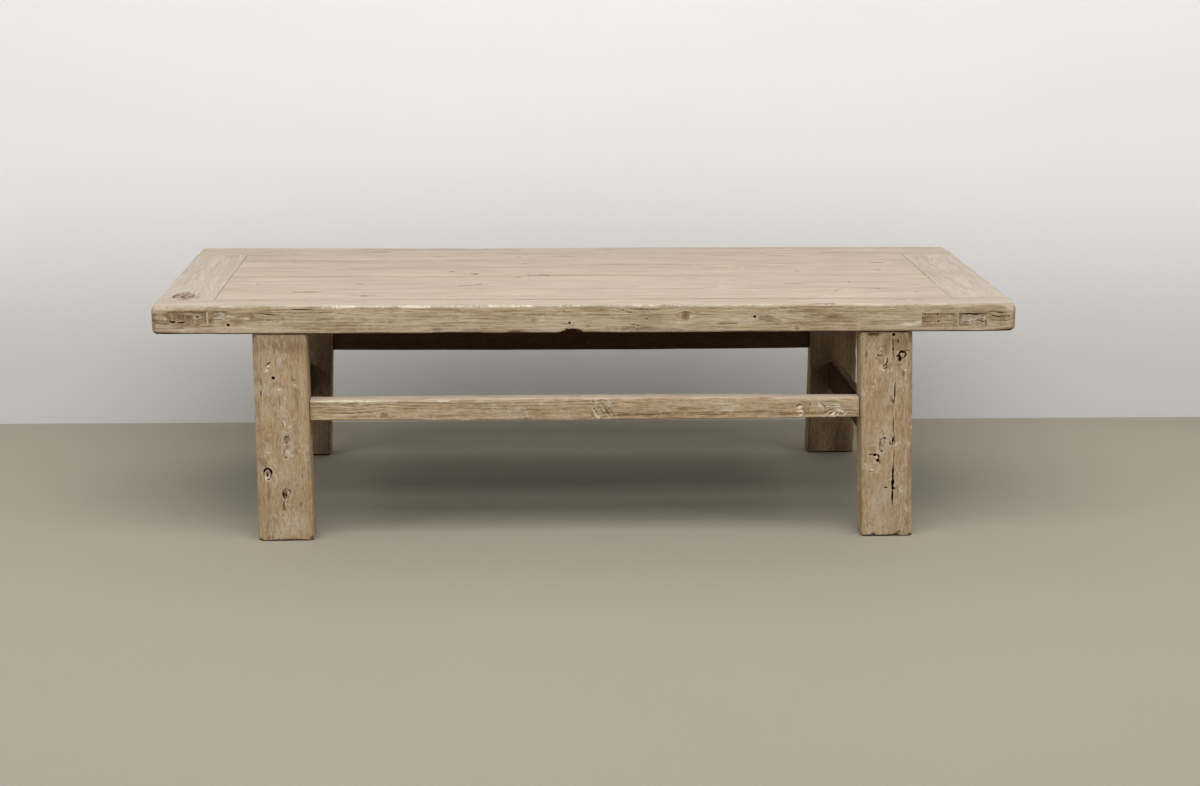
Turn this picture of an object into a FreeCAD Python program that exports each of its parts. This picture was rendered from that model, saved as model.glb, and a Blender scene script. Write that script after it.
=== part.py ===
import FreeCAD, Part
import math
import os
from collections import namedtuple

# Low kang table in old elm: a framed top with a flush panel, on four legs tied by stretchers.
# X runs along the table, Y from the front to the back and Z up.
# The origin is on the floor, under the middle of the top. Lengths are in millimetres.

Vector = FreeCAD.Vector

# Overall sizes
table_length = 1500.0
top_depth = 620.0
table_height = 421.0
top_thickness = 51.0

# Frame round the top
front_rail_width = 53.0
back_rail_width = 91.0
left_rail_width = 101.0
right_rail_width = 105.0
corner_round = 12.0
top_arris_round = 9.0
under_arris_round = 7.0

# Hollow worn along the back edge of the top, with its distance from each end
hollow_left_inset = 80.0
hollow_right_inset = 420.0
hollow_depth = 8.0

# Half-moon chip in the lower front arris
chip_place = -27.0
chip_width = 26.0
chip_height = 6.5
chip_depth = 15.0

# Through tenons of the end rails, measured from the end and the top of the table
left_tenon_inset = 28.0
left_tenon_width = 70.0
left_tenon_drop = 10.0
right_tenon_inset = 53.0
right_tenon_width = 52.0
right_tenon_drop = 17.0
end_tenon_height = 22.0
end_wedge_face = 4.5
end_wedge_tip = 1.5
end_wedge_length = 32.0

# Patches let into the front face beside the tenons
patch_depth = 8.0
left_patch_inset = 106.0
left_patch_width = 22.0
left_patch_height = 15.0
right_patch_inset = 109.0
right_patch_width = 58.0
right_patch_height = 21.0

# Panel of five boards, from the front to the back, as shares of its depth
panel_thickness = 20.0
board_width_shares = (0.214, 0.28, 0.189, 0.166, 0.151)
seam_chamfer = 0.8
tongue_drop = 7.0
tongue_thickness = 6.0
tongue_length = 7.0
groove_slack = 1.0

# Dovetail battens under the panel
batten_spacing = 420.0
batten_width = 38.0
batten_height = 24.0
batten_arris_round = 3.0
dovetail_height = 5.5
dovetail_neck = 20.0
dovetail_spread = 27.0
batten_tenon_width = 24.0
batten_tenon_height = 14.0
batten_tenon_length = 12.0

# Legs
leg_width_top = 95.0
leg_width_foot = 98.0
leg_depth_top = 50.0
leg_depth_foot = 53.0
left_leg_inset = 217.0
right_leg_inset = 227.0
leg_setback = 2.0
foot_reach = 6.0
leg_outer_arris = 11.0
leg_inner_arris = 7.0
foot_round = 3.0
leg_tenon_width = 60.0
leg_tenon_thickness = 20.0
leg_tenon_height = 34.0

# Outward lean of each foot, because every leg was set by eye
front_left_lean = -3.0
front_right_lean = 13.5
back_left_lean = 14.0
back_right_lean = 1.0

# Front and back stretchers, tenoned right through the legs
long_level = 236.0
long_height = 38.0
long_thickness = 30.0
long_recess = 8.5
long_crown = 1.8
long_belly = 2.0
long_top_arris = 5.0
long_under_arris = 3.5
long_tenon_height = 24.0
long_tenon_thickness = 12.0
stretcher_wedge_face = 3.6
stretcher_wedge_tip = 1.2
stretcher_wedge_length = 30.0

# Side stretchers, tenoned blind into the legs
side_level = 167.0
side_height = 54.0
side_thickness = 24.0
side_crown = 0.8
side_belly = 2.0
side_waney_arris = 10.0
side_arris = 4.0
side_tenon_height = 34.0
side_tenon_thickness = 11.0
side_tenon_length = 30.0

# Fits
joint_gap = 0.15
blind_gap = 1.5
overrun = 5.0

# Levels and lines worked out from the sizes above
half_length = table_length / 2
half_depth = top_depth / 2
underside = table_height - top_thickness
front_seam = front_rail_width - half_depth
back_seam = half_depth - back_rail_width
left_seam = left_rail_width - half_length
right_seam = half_length - right_rail_width
panel_underside = table_height - panel_thickness
tongue_top = table_height - tongue_drop
tongue_bottom = tongue_top - tongue_thickness

Leg = namedtuple("Leg", "name side face lean inset")
EndRail = namedtuple("EndRail", "name side seam tenon_inset tenon_width tenon_drop")

legs = (
    Leg("leg_front_left", -1, -1, front_left_lean, left_leg_inset),
    Leg("leg_front_right", 1, -1, front_right_lean, right_leg_inset),
    Leg("leg_back_left", -1, 1, back_left_lean, left_leg_inset),
    Leg("leg_back_right", 1, 1, back_right_lean, right_leg_inset),
)
end_rails = (
    EndRail("left_end_rail", -1, left_seam, left_tenon_inset, left_tenon_width, left_tenon_drop),
    EndRail("right_end_rail", 1, right_seam, right_tenon_inset, right_tenon_width, right_tenon_drop),
)


def block(x_ends, y_ends, z_ends):
    """Box between two values on each axis, given in either order."""
    low = Vector(min(x_ends), min(y_ends), min(z_ends))
    size = Vector(max(x_ends), max(y_ends), max(z_ends)) - low
    return Part.makeBox(size.x, size.y, size.z, low)


def prism(points, direction):
    """Solid made by pushing a closed outline along a direction."""
    outline = Part.makePolygon(points + [points[0]])
    return Part.Face(outline).extrude(direction)


def round_edges(shape, radius, chosen):
    """Round the edges whose two ends and middle all pass a test."""
    edges = []
    for edge in shape.Edges:
        middle = edge.valueAt((edge.FirstParameter + edge.LastParameter) / 2)
        if all(chosen(point) for point in [vertex.Point for vertex in edge.Vertexes] + [middle]):
            edges.append(edge)
    return shape.makeFillet(radius, edges)


def near(value, target):
    """True where two lengths are the same to the working tolerance."""
    return abs(value - target) < joint_gap


def leg_share(height):
    """Share of the way down a leg, from 0 at its shoulder to 1 at its foot."""
    return 1 - height / underside


def leg_size(height):
    """Width and depth of a leg at a height."""
    share = leg_share(height)
    width = leg_width_top + (leg_width_foot - leg_width_top) * share
    depth = leg_depth_top + (leg_depth_foot - leg_depth_top) * share
    return width, depth


def leg_face(height):
    """Distance from the middle of the table to the outer face of a leg at a height."""
    return half_depth - leg_setback + (leg_setback + foot_reach) * leg_share(height)


def leg_centre(leg, height):
    """Middle of a leg at a height, as X and Y."""
    x = leg.side * (half_length - leg.inset + leg.lean * leg_share(height))
    y = leg.face * (leg_face(height) - leg_size(height)[1] / 2)
    return x, y


def tapered_post(foot, top):
    """Solid with flat sides between two rectangles, whose corners are given anticlockwise from above."""
    count = len(foot)
    outlines = [foot[::-1], top]
    for index in range(count):
        following = (index + 1) % count
        outlines.append([foot[index], foot[following], top[following], top[index]])
    faces = [Part.Face(Part.makePolygon(outline + [outline[0]])) for outline in outlines]
    return Part.Solid(Part.Shell(faces))


def leg_corners(leg, height):
    """Corners of a leg's section at a height, before its arrises are worn."""
    x, y = leg_centre(leg, height)
    width, depth = leg_size(height)
    sides = ((-1, -1), (1, -1), (1, 1), (-1, 1))
    return [Vector(x + across * width / 2, y + along * depth / 2, height) for across, along in sides]


def leg_blank(leg):
    """Leg before its joints are cut: a tapered post that leans, with worn arrises and foot."""
    post = tapered_post(leg_corners(leg, 0), leg_corners(leg, underside))
    middle = leg_centre(leg, underside / 2)[0]
    for side, radius in ((leg.side, leg_outer_arris), (-leg.side, leg_inner_arris)):
        arrises = [edge for edge in post.Edges if near(edge.BoundBox.ZLength, underside)
                   and side * (edge.CenterOfMass.x - middle) > 0]
        post = post.makeFillet(radius, arrises)
    return round_edges(post, foot_round, lambda p: near(p.z, 0))


def find_leg(side, face):
    """Leg at one end and one face of the table."""
    return next(leg for leg in legs if (leg.side, leg.face) == (side, face))


leg_blanks = {leg.name: leg_blank(leg) for leg in legs}


def front_rail_blank():
    """Front rail with its rounded corners and arrises, before joints."""
    rail = block((-half_length, half_length), (-half_depth, front_seam), (underside, table_height))
    rail = round_edges(rail, corner_round, lambda p: near(abs(p.x), half_length) and near(p.y, -half_depth))
    return round_rims(rail, front_seam)


def worn_back_edge():
    """Back edge of the top: straight at its ends, with a long hollow of three tangent arcs between."""
    start = hollow_left_inset - half_length
    quarter = (half_length - hollow_right_inset - start) / 4
    radius = (quarter ** 2 + hollow_depth ** 2 / 4) / hollow_depth
    sagitta = radius - math.sqrt(radius ** 2 - quarter ** 2 / 4)
    drops = (0, sagitta, hollow_depth / 2, hollow_depth, hollow_depth / 2, sagitta, 0)
    steps = (0, quarter / 2, quarter, 2 * quarter, 3 * quarter, 3.5 * quarter, 4 * quarter)
    points = [Vector(start + step, half_depth - drop, underside) for step, drop in zip(steps, drops)]
    left_end = Vector(-half_length, half_depth, underside)
    right_end = Vector(half_length, half_depth, underside)
    return [Part.LineSegment(left_end, points[0]), Part.Arc(*points[0:3]), Part.Arc(*points[2:5]),
            Part.Arc(*points[4:7]), Part.LineSegment(points[6], right_end)]


def back_rail_blank():
    """Back rail with its worn back edge, before joints."""
    left_inner = Vector(-half_length, back_seam, underside)
    right_inner = Vector(half_length, back_seam, underside)
    edge = worn_back_edge()
    sides = [Part.LineSegment(edge[-1].EndPoint, right_inner), Part.LineSegment(right_inner, left_inner),
             Part.LineSegment(left_inner, edge[0].StartPoint)]
    outline = Part.Wire([side.toShape() for side in edge + sides])
    rail = Part.Face(outline).extrude(Vector(0, 0, top_thickness))
    rail = round_edges(rail, corner_round, lambda p: near(abs(p.x), half_length) and near(p.y, half_depth))
    return round_rims(rail, back_seam)


def round_rims(rail, seam):
    """Round the upper and lower rims of a long rail, all but the straight inner seam."""
    rail = round_edges(rail, top_arris_round,
                       lambda p: near(p.z, table_height) and not on_inner_seam(p, seam))
    return round_edges(rail, under_arris_round,
                       lambda p: near(p.z, underside) and not on_inner_seam(p, seam))


def on_inner_seam(point, seam):
    """True for a point on the inner seam, away from the ends of the rail."""
    return near(point.y, seam) and not near(abs(point.x), half_length)


rail_blanks = {-1: front_rail_blank(), 1: back_rail_blank()}


def end_tenon_box(rail, face, slack):
    """Space of one through tenon of an end rail, with slack all round for its mortise."""
    outer = rail.side * (half_length - rail.tenon_inset + slack)
    inner = rail.side * (half_length - rail.tenon_inset - rail.tenon_width - slack)
    top = table_height - rail.tenon_drop + slack
    seam = front_seam if face < 0 else back_seam
    return block((outer, inner), (seam, face * (half_depth + overrun)), (top, top - end_tenon_height - 2 * slack))


def end_wedge(rail, face):
    """Wedge driven beside the inner cheek of an end rail's tenon, flush with the rail."""
    inner = rail.side * (half_length - rail.tenon_inset - rail.tenon_width)
    top = table_height - rail.tenon_drop
    outside = face * (half_depth + overrun)
    tip = face * (half_depth - end_wedge_length)
    outline = [Vector(inner, outside, top), Vector(inner + rail.side * end_wedge_face, outside, top),
               Vector(inner + rail.side * end_wedge_tip, tip, top), Vector(inner, tip, top)]
    return prism(outline, Vector(0, 0, -end_tenon_height)).common(rail_blanks[face])


def end_rail(rail):
    """End rail between the long rails, grooved for the panel, with a wedged tenon at each end."""
    outer = rail.side * half_length
    body = block((outer, rail.seam), (front_seam, back_seam), (underside, table_height))
    body = round_edges(body, top_arris_round, lambda p: near(p.x, outer) and near(p.z, table_height))
    body = round_edges(body, under_arris_round, lambda p: near(p.x, outer) and near(p.z, underside))
    groove_end = rail.seam + rail.side * (tongue_length + groove_slack)
    body = body.cut(block((rail.seam, groove_end), (front_seam, back_seam),
                          (tongue_bottom - joint_gap, tongue_top + joint_gap)))
    for face in (-1, 1):
        tenon = end_tenon_box(rail, face, 0).common(rail_blanks[face])
        body = body.fuse(tenon.cut(end_wedge(rail, face)))
    return body


def batten_places():
    """Middles of the battens along the table."""
    return {"batten_left": -batten_spacing, "batten_middle": 0, "batten_right": batten_spacing}


def batten_tenon_box(place, seam, face, slack):
    """Stub tenon of a batten into a long rail, with slack all round for its mortise."""
    half_w = batten_tenon_width / 2 + slack
    middle = panel_underside - batten_height / 2
    half_h = batten_tenon_height / 2 + slack
    reach = batten_tenon_length + (blind_gap if slack else 0)
    return block((place - half_w, place + half_w), (seam, seam + face * reach), (middle - half_h, middle + half_h))


def dovetail_key(place, slack):
    """Dovetail ridge of a batten, or with slack the slot for it across the boards."""
    neck = dovetail_neck / 2 + slack
    spread = dovetail_spread / 2 + slack
    top = panel_underside + dovetail_height + slack
    outline = [Vector(place - neck, front_seam, panel_underside), Vector(place + neck, front_seam, panel_underside),
               Vector(place + spread, front_seam, top), Vector(place - spread, front_seam, top)]
    return prism(outline, Vector(0, back_seam - front_seam, 0))


def batten(place):
    """Batten under the panel, keyed into every board and tenoned into both long rails."""
    bottom = panel_underside - batten_height
    body = block((place - batten_width / 2, place + batten_width / 2), (front_seam, back_seam),
                 (bottom, panel_underside))
    body = round_edges(body, batten_arris_round, lambda p: near(p.z, bottom) and not
                       (near(p.x, place) and (near(p.y, front_seam) or near(p.y, back_seam))))
    body = body.fuse(dovetail_key(place, 0))
    for seam, face in ((front_seam, -1), (back_seam, 1)):
        body = body.fuse(batten_tenon_box(place, seam, face, 0))
    return body


def leg_tenon_box(leg, slack):
    """Blind tenon on the top of a leg, with slack all round for its mortise."""
    x, y = leg_centre(leg, underside)
    half_w = leg_tenon_width / 2 + slack
    half_t = leg_tenon_thickness / 2 + slack
    reach = leg_tenon_height + (blind_gap if slack else 0)
    return block((x - half_w, x + half_w), (y - half_t, y + half_t), (underside, underside + reach))


def long_rail(face):
    """Front or back rail, with mortises for the end rails, legs and battens and a panel groove."""
    seam = front_seam if face < 0 else back_seam
    rail = rail_blanks[face]
    for end in end_rails:
        rail = rail.cut(end_tenon_box(end, face, joint_gap))
    for leg in legs:
        if leg.face == face:
            rail = rail.cut(leg_tenon_box(leg, joint_gap))
    for place in batten_places().values():
        rail = rail.cut(batten_tenon_box(place, seam, face, joint_gap))
    groove = block((left_seam, right_seam), (seam, seam + face * (tongue_length + groove_slack)),
                   (tongue_bottom - joint_gap, tongue_top + joint_gap))
    return rail.cut(groove)


def chip():
    """Scoop that takes a half moon out of the lower front arris and runs out inside the rail."""
    radius = (chip_width ** 2 / 4 + chip_height ** 2) / (2 * chip_height)
    axis = Vector(0, chip_depth, -chip_height)
    start = Vector(chip_place, -half_depth, underside + chip_height - radius)
    before = Vector(axis).normalize().multiply(overrun)
    return Part.makeCylinder(radius, axis.Length + overrun, start.sub(before), axis)


def patch_boxes(slack):
    """Spaces of the two patches in the front face, with slack for their recesses."""
    left_x = -half_length + left_patch_inset
    left_top = table_height - left_tenon_drop
    right_x = half_length - right_patch_inset
    right_top = table_height - right_tenon_drop
    sizes = ((left_x, left_x + left_patch_width, left_top, left_patch_height),
             (right_x, right_x - right_patch_width, right_top, right_patch_height))
    boxes = []
    for start, stop, top, height in sizes:
        low, high = sorted((start, stop))
        boxes.append(block((low - slack, high + slack), (-half_depth, patch_depth - half_depth),
                           (top + slack, top - height - slack)))
    return boxes


def front_rail():
    """Front rail with its chip and the recesses for the patches."""
    rail = long_rail(-1).cut(chip())
    for recess in patch_boxes(joint_gap):
        rail = rail.cut(recess)
    return rail


def board_lines():
    """Front and back line of each board of the panel, from the front."""
    lines = []
    start = front_seam
    for share in board_width_shares:
        stop = start + share * (back_seam - front_seam) / sum(board_width_shares)
        lines.append((start, stop))
        start = stop
    return lines


def board(index):
    """One board of the panel: tongued to its neighbours and the frame, slotted for the battens."""
    start, stop = board_lines()[index]
    outline = [Vector(left_seam, start, panel_underside), Vector(left_seam, stop, panel_underside),
               Vector(left_seam, stop, table_height - seam_chamfer),
               Vector(left_seam, stop - seam_chamfer, table_height),
               Vector(left_seam, start + seam_chamfer, table_height),
               Vector(left_seam, start, table_height - seam_chamfer)]
    shape = prism(outline, Vector(right_seam - left_seam, 0, 0))
    tongue_ends = (tongue_bottom, tongue_top)
    shape = shape.fuse(block((left_seam, right_seam), (stop, stop + tongue_length), tongue_ends))
    if index == 0:
        shape = shape.fuse(block((left_seam, right_seam), (start - tongue_length, start), tongue_ends))
    else:
        shape = shape.cut(block((left_seam, right_seam), (start, start + tongue_length + groove_slack),
                                (tongue_bottom - joint_gap, tongue_top + joint_gap)))
    for seam, way in ((left_seam, -1), (right_seam, 1)):
        shape = shape.fuse(block((seam, seam + way * tongue_length),
                                 (start + tongue_length + groove_slack, stop - joint_gap), tongue_ends))
    for place in batten_places().values():
        shape = shape.cut(dovetail_key(place, joint_gap))
    return shape


def long_line(face):
    """Middle line of a long stretcher, as its distance from the middle of the table."""
    return face * (leg_face(long_level) - long_recess - long_thickness / 2)


def long_tenon_box(leg, slack):
    """Space of a long stretcher's tenon right through one leg, with slack for its mortise."""
    x, _ = leg_centre(leg, long_level)
    y = long_line(leg.face)
    half_t = long_tenon_thickness / 2 + slack
    half_h = long_tenon_height / 2 + slack
    reach = leg_size(long_level)[0] / 2 + overrun
    return block((x - reach, x + reach), (y - half_t, y + half_t), (long_level - half_h, long_level + half_h))


def stretcher_wedge(leg):
    """Wedge across the middle of a long stretcher's tenon, flush with the outside of the leg."""
    x, _ = leg_centre(leg, long_level)
    y = long_line(leg.face) - long_tenon_thickness / 2
    outside = x + leg.side * (leg_size(long_level)[0] / 2 + overrun)
    tip = outside - leg.side * (stretcher_wedge_length + overrun)
    half_face = stretcher_wedge_face / 2
    half_tip = stretcher_wedge_tip / 2
    outline = [Vector(outside, y, long_level - half_face), Vector(outside, y, long_level + half_face),
               Vector(tip, y, long_level + half_tip), Vector(tip, y, long_level - half_tip)]
    return prism(outline, Vector(0, long_tenon_thickness, 0)).common(leg_blanks[leg.name])


def hewn_bar(start, stop, level, height, thickness, crown, belly, arrises):
    """Bar between two places in plan, hewn a little fuller above and below in the middle.

    The arrises give a radius for each side across the bar, from right to left of its run, and up.
    """
    run = Vector(stop[0] - start[0], stop[1] - start[1], 0)
    half_l, half_t, half_h = run.Length / 2, thickness / 2, height / 2
    corners = [Vector(along * half_l, -half_t, up * half_h) for along, up in ((-1, -1), (1, -1), (1, 1), (-1, 1))]
    lower = Part.Arc(corners[0], Vector(0, -half_t, -half_h - belly), corners[1])
    upper = Part.Arc(corners[2], Vector(0, -half_t, half_h + crown), corners[3])
    outline = [lower, Part.LineSegment(corners[1], corners[2]), upper, Part.LineSegment(corners[3], corners[0])]
    bar = Part.Face(Part.Wire([edge.toShape() for edge in outline])).extrude(Vector(0, thickness, 0))
    for (across, up), radius in arrises.items():
        arris = [edge for edge in bar.Edges if near(edge.BoundBox.XLength, run.Length)
                 and across * edge.CenterOfMass.y > 0 and up * edge.CenterOfMass.z > 0]
        bar = bar.makeFillet(radius, arris)
    middle = Vector(start[0] + stop[0], start[1] + stop[1], 2 * level) * 0.5
    bar.Placement = FreeCAD.Placement(middle, FreeCAD.Rotation(Vector(1, 0, 0), run))
    return bar


def long_stretcher(face):
    """Front or back stretcher, shouldered against the legs, with a wedged tenon through each."""
    pair = [leg for leg in legs if leg.face == face]
    start, stop = [(leg_centre(leg, long_level)[0], long_line(face)) for leg in pair]
    arrises = {(side, 1): long_top_arris for side in (-1, 1)}
    arrises.update({(side, -1): long_under_arris for side in (-1, 1)})
    rail = hewn_bar(start, stop, long_level, long_height, long_thickness, long_crown, long_belly, arrises)
    for leg in pair:
        rail = rail.cut(leg_blanks[leg.name])
    for leg in pair:
        tenon = long_tenon_box(leg, 0).common(leg_blanks[leg.name]).cut(stretcher_wedge(leg))
        rail = rail.fuse(tenon)
    return rail


def side_tenon_box(leg, slack):
    """Space of a side stretcher's blind tenon in one leg, with slack for its mortise."""
    x, y = leg_centre(leg, side_level)
    half_t = side_tenon_thickness / 2 + slack
    half_h = side_tenon_height / 2 + slack
    inner_face = y - leg.face * leg_size(side_level)[1] / 2
    root = inner_face - leg.face * overrun
    tip = inner_face + leg.face * (side_tenon_length + (blind_gap if slack else 0))
    return block((x - half_t, x + half_t), (root, tip), (side_level - half_h, side_level + half_h))


def side_stretcher(side):
    """Left or right stretcher, with a waney arris on its inner upper edge and blind tenons."""
    pair = [find_leg(side, face) for face in (-1, 1)]
    start, stop = [leg_centre(leg, side_level) for leg in pair]
    arrises = {(side, 1): side_waney_arris, (-side, 1): side_arris, (1, -1): side_arris, (-1, -1): side_arris}
    rail = hewn_bar(start, stop, side_level, side_height, side_thickness, side_crown, side_belly, arrises)
    for leg in pair:
        rail = rail.cut(leg_blanks[leg.name])
    for leg in pair:
        rail = rail.fuse(side_tenon_box(leg, 0))
    return rail


def leg_with_joints(leg):
    """Leg with its blind tenon, a through mortise for the long stretcher and a blind one for the side."""
    shape = leg_blanks[leg.name].fuse(leg_tenon_box(leg, 0))
    shape = shape.cut(long_tenon_box(leg, joint_gap))
    return shape.cut(side_tenon_box(leg, joint_gap))


def all_pieces():
    """Every piece of the table by name."""
    pieces = {"front_rail": front_rail(), "back_rail": long_rail(1)}
    for rail in end_rails:
        pieces[rail.name] = end_rail(rail)
    for index in range(len(board_width_shares)):
        pieces["panel_board_%d" % (index + 1)] = board(index)
    for name, place in batten_places().items():
        pieces[name] = batten(place)
    for leg in legs:
        pieces[leg.name] = leg_with_joints(leg)
    pieces["front_stretcher"] = long_stretcher(-1)
    pieces["back_stretcher"] = long_stretcher(1)
    pieces["left_stretcher"] = side_stretcher(-1)
    pieces["right_stretcher"] = side_stretcher(1)
    pieces["end_rail_wedges"] = Part.makeCompound([end_wedge(rail, face) for rail in end_rails
                                                   for face in (-1, 1)])
    pieces["stretcher_wedges"] = Part.makeCompound([stretcher_wedge(leg) for leg in legs])
    pieces["rail_patches"] = Part.makeCompound(patch_boxes(0))
    return pieces


os.makedirs("parts", exist_ok=True)
for piece_name, piece in all_pieces().items():
    piece.exportStep("parts/%s.step" % piece_name)
    print(piece_name, piece.isValid(), len(piece.Solids), round(piece.Volume / 1000, 1), "cm3")
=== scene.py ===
"""Looks of a low kang table in scrubbed old elm, dressed over its measured frame.

Meshes are in metres. The wear of each timber is written in millimetres, in the table's own frame: X along
the table, Y from the front to the back and Z up from the floor.
"""

import logging
import math
from abc import ABC, abstractmethod
from dataclasses import dataclass, field, replace
from enum import Enum
from typing import Callable, Iterable, Optional, Sequence

import bmesh
import bpy
import numpy as np
from mathutils import Matrix, Vector


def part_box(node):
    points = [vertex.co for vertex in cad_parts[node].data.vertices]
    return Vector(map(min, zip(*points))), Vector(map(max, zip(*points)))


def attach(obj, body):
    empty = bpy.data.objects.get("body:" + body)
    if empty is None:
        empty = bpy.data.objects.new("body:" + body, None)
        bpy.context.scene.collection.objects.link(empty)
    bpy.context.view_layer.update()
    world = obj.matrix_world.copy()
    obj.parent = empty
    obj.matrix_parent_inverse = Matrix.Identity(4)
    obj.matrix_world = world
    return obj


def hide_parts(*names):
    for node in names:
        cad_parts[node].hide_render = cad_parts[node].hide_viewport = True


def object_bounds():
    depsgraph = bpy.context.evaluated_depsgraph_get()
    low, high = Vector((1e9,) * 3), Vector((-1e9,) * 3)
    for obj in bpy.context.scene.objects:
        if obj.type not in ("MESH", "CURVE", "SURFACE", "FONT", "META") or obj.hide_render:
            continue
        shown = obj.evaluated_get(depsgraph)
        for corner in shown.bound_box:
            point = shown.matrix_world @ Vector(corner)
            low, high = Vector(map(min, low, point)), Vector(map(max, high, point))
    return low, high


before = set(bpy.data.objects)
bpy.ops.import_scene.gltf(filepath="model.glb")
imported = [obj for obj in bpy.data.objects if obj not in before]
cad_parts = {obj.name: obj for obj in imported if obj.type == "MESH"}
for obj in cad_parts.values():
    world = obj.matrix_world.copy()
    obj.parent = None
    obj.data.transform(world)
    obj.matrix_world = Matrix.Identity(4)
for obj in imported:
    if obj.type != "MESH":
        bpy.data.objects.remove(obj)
cad_low, cad_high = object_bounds()

log = logging.getLogger("kang_table")

MM = 0.001
FAR = 1.0e3
TONGUE = 7 * MM
MATT_SPECULAR = 0.06
Array = np.ndarray
Pair = tuple[float, float]
Triple = tuple[float, float, float]
Colour = tuple[float, float, float, float]
Socket = bpy.types.NodeSocket


class Face(Enum):
    """A side that a timber shows: its outward direction and the two axes that lie in it."""

    FRONT = ((0.0, -1.0, 0.0), 0, 2)
    BACK = ((0.0, 1.0, 0.0), 0, 2)
    TOP = ((0.0, 0.0, 1.0), 0, 1)
    UNDER = ((0.0, 0.0, -1.0), 0, 1)
    LEFT = ((-1.0, 0.0, 0.0), 1, 2)
    RIGHT = ((1.0, 0.0, 0.0), 1, 2)
    TOP_ARRIS = ((0.0, -0.7, 0.7), 0, 1)
    LOW_ARRIS = ((0.0, -0.7, -0.7), 0, 2)
    LEFT_ARRIS = ((-0.7, -0.7, 0.0), 0, 2)
    RIGHT_ARRIS = ((0.7, -0.7, 0.0), 0, 2)

    @property
    def outward(self) -> Array:
        """Outward direction as an array."""
        return np.array(self.value[0])

    @property
    def axes(self) -> tuple[int, int]:
        """The two axes that lie in the face."""
        return self.value[1], self.value[2]


def srgb(red: float, green: float, blue: float) -> Colour:
    """Turn a colour of 0 to 255 as a screen shows it into linear light.

    Args:
        red: Red, from 0 to 255.
        green: Green, from 0 to 255.
        blue: Blue, from 0 to 255.

    Returns:
        The linear colour with full alpha.
    """
    shares = [channel / 255 for channel in (red, green, blue)]
    linear = [c / 12.92 if c <= 0.04045 else ((c + 0.055) / 1.055) ** 2.4 for c in shares]
    return linear[0], linear[1], linear[2], 1.0


def smooth(values: Array) -> Array:
    """Ease values from 0 to 1, flat at both ends."""
    held = np.clip(values, 0.0, 1.0)
    return held * held * (3.0 - 2.0 * held)


def unit(axis: int, side: int = 1) -> Array:
    """Direction along one axis, towards its high or low side."""
    direction = np.zeros(3)
    direction[axis] = side
    return direction


class Noise:
    """Smooth random field on a seeded lattice that repeats after 64 cells."""

    cells = 64

    def __init__(self, seed: int) -> None:
        """Fill the lattice from a seed."""
        self.flat = np.random.default_rng(seed).random(self.cells ** 3)

    def at(self, points: Array, cell: float | Triple) -> Array:
        """Read the field.

        Args:
            points: Places, one row each, in metres.
            cell: Size of a lattice cell, or its size along each axis, in millimetres.

        Returns:
            One value from -1 to 1 for each place.
        """
        scaled = points / (np.array(cell) * MM)
        base = np.floor(scaled)
        part = (scaled - base).T
        x, y, z = part * part * (3.0 - 2.0 * part)
        low = base.T.astype(np.int64) % self.cells
        high = (low + 1) % self.cells
        strides = np.array([[self.cells ** 2], [self.cells], [1]])
        low, high = low * strides, high * strides
        rows = []
        for plane in (low[0], high[0]):
            near = [self.flat[plane + line + cell_z] for line in (low[1], high[1]) for cell_z in (low[2], high[2])]
            front = near[0] + (near[1] - near[0]) * z
            rows.append(front + (near[2] + (near[3] - near[2]) * z - front) * y)
        return 2.0 * (rows[0] + (rows[1] - rows[0]) * x) - 1.0


@dataclass(frozen=True)
class Box:
    """Space between two corners, in metres."""

    low: Array
    high: Array

    @property
    def centre(self) -> Array:
        """Middle of the box."""
        return (self.low + self.high) / 2

    @property
    def size(self) -> Array:
        """Extent of the box along each axis."""
        return self.high - self.low

    @classmethod
    def between(cls, *spans: Pair) -> "Box":
        """Box between two places on each axis, given in either order."""
        return cls(np.array([min(span) for span in spans]), np.array([max(span) for span in spans]))


def cad_points(node: str) -> Array:
    """Places of the corners of a node of the frame, one row each."""
    return np.array([vertex.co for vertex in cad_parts[node].data.vertices], dtype=float)


def box_of(points: Array) -> Box:
    """Smallest box round some places."""
    return Box(points.min(axis=0), points.max(axis=0))


def node_box(node: str) -> Box:
    """Box of a node of the frame."""
    low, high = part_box(node)
    return Box(np.array(low), np.array(high))


def end_section(node: str, axis: int, side: int) -> Box:
    """Box of what a node shows at its very end on one axis.

    Args:
        node: Name of a node of the frame.
        axis: The axis that the end lies on.
        side: 1 for the high end and -1 for the low end.

    Returns:
        The box of the end face, such as the end of a through tenon.
    """
    tolerance = 1.5 * MM
    points = cad_points(node)
    extreme = (points[:, axis] * side).max()
    return box_of(points[points[:, axis] * side > extreme - tolerance])


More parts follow.
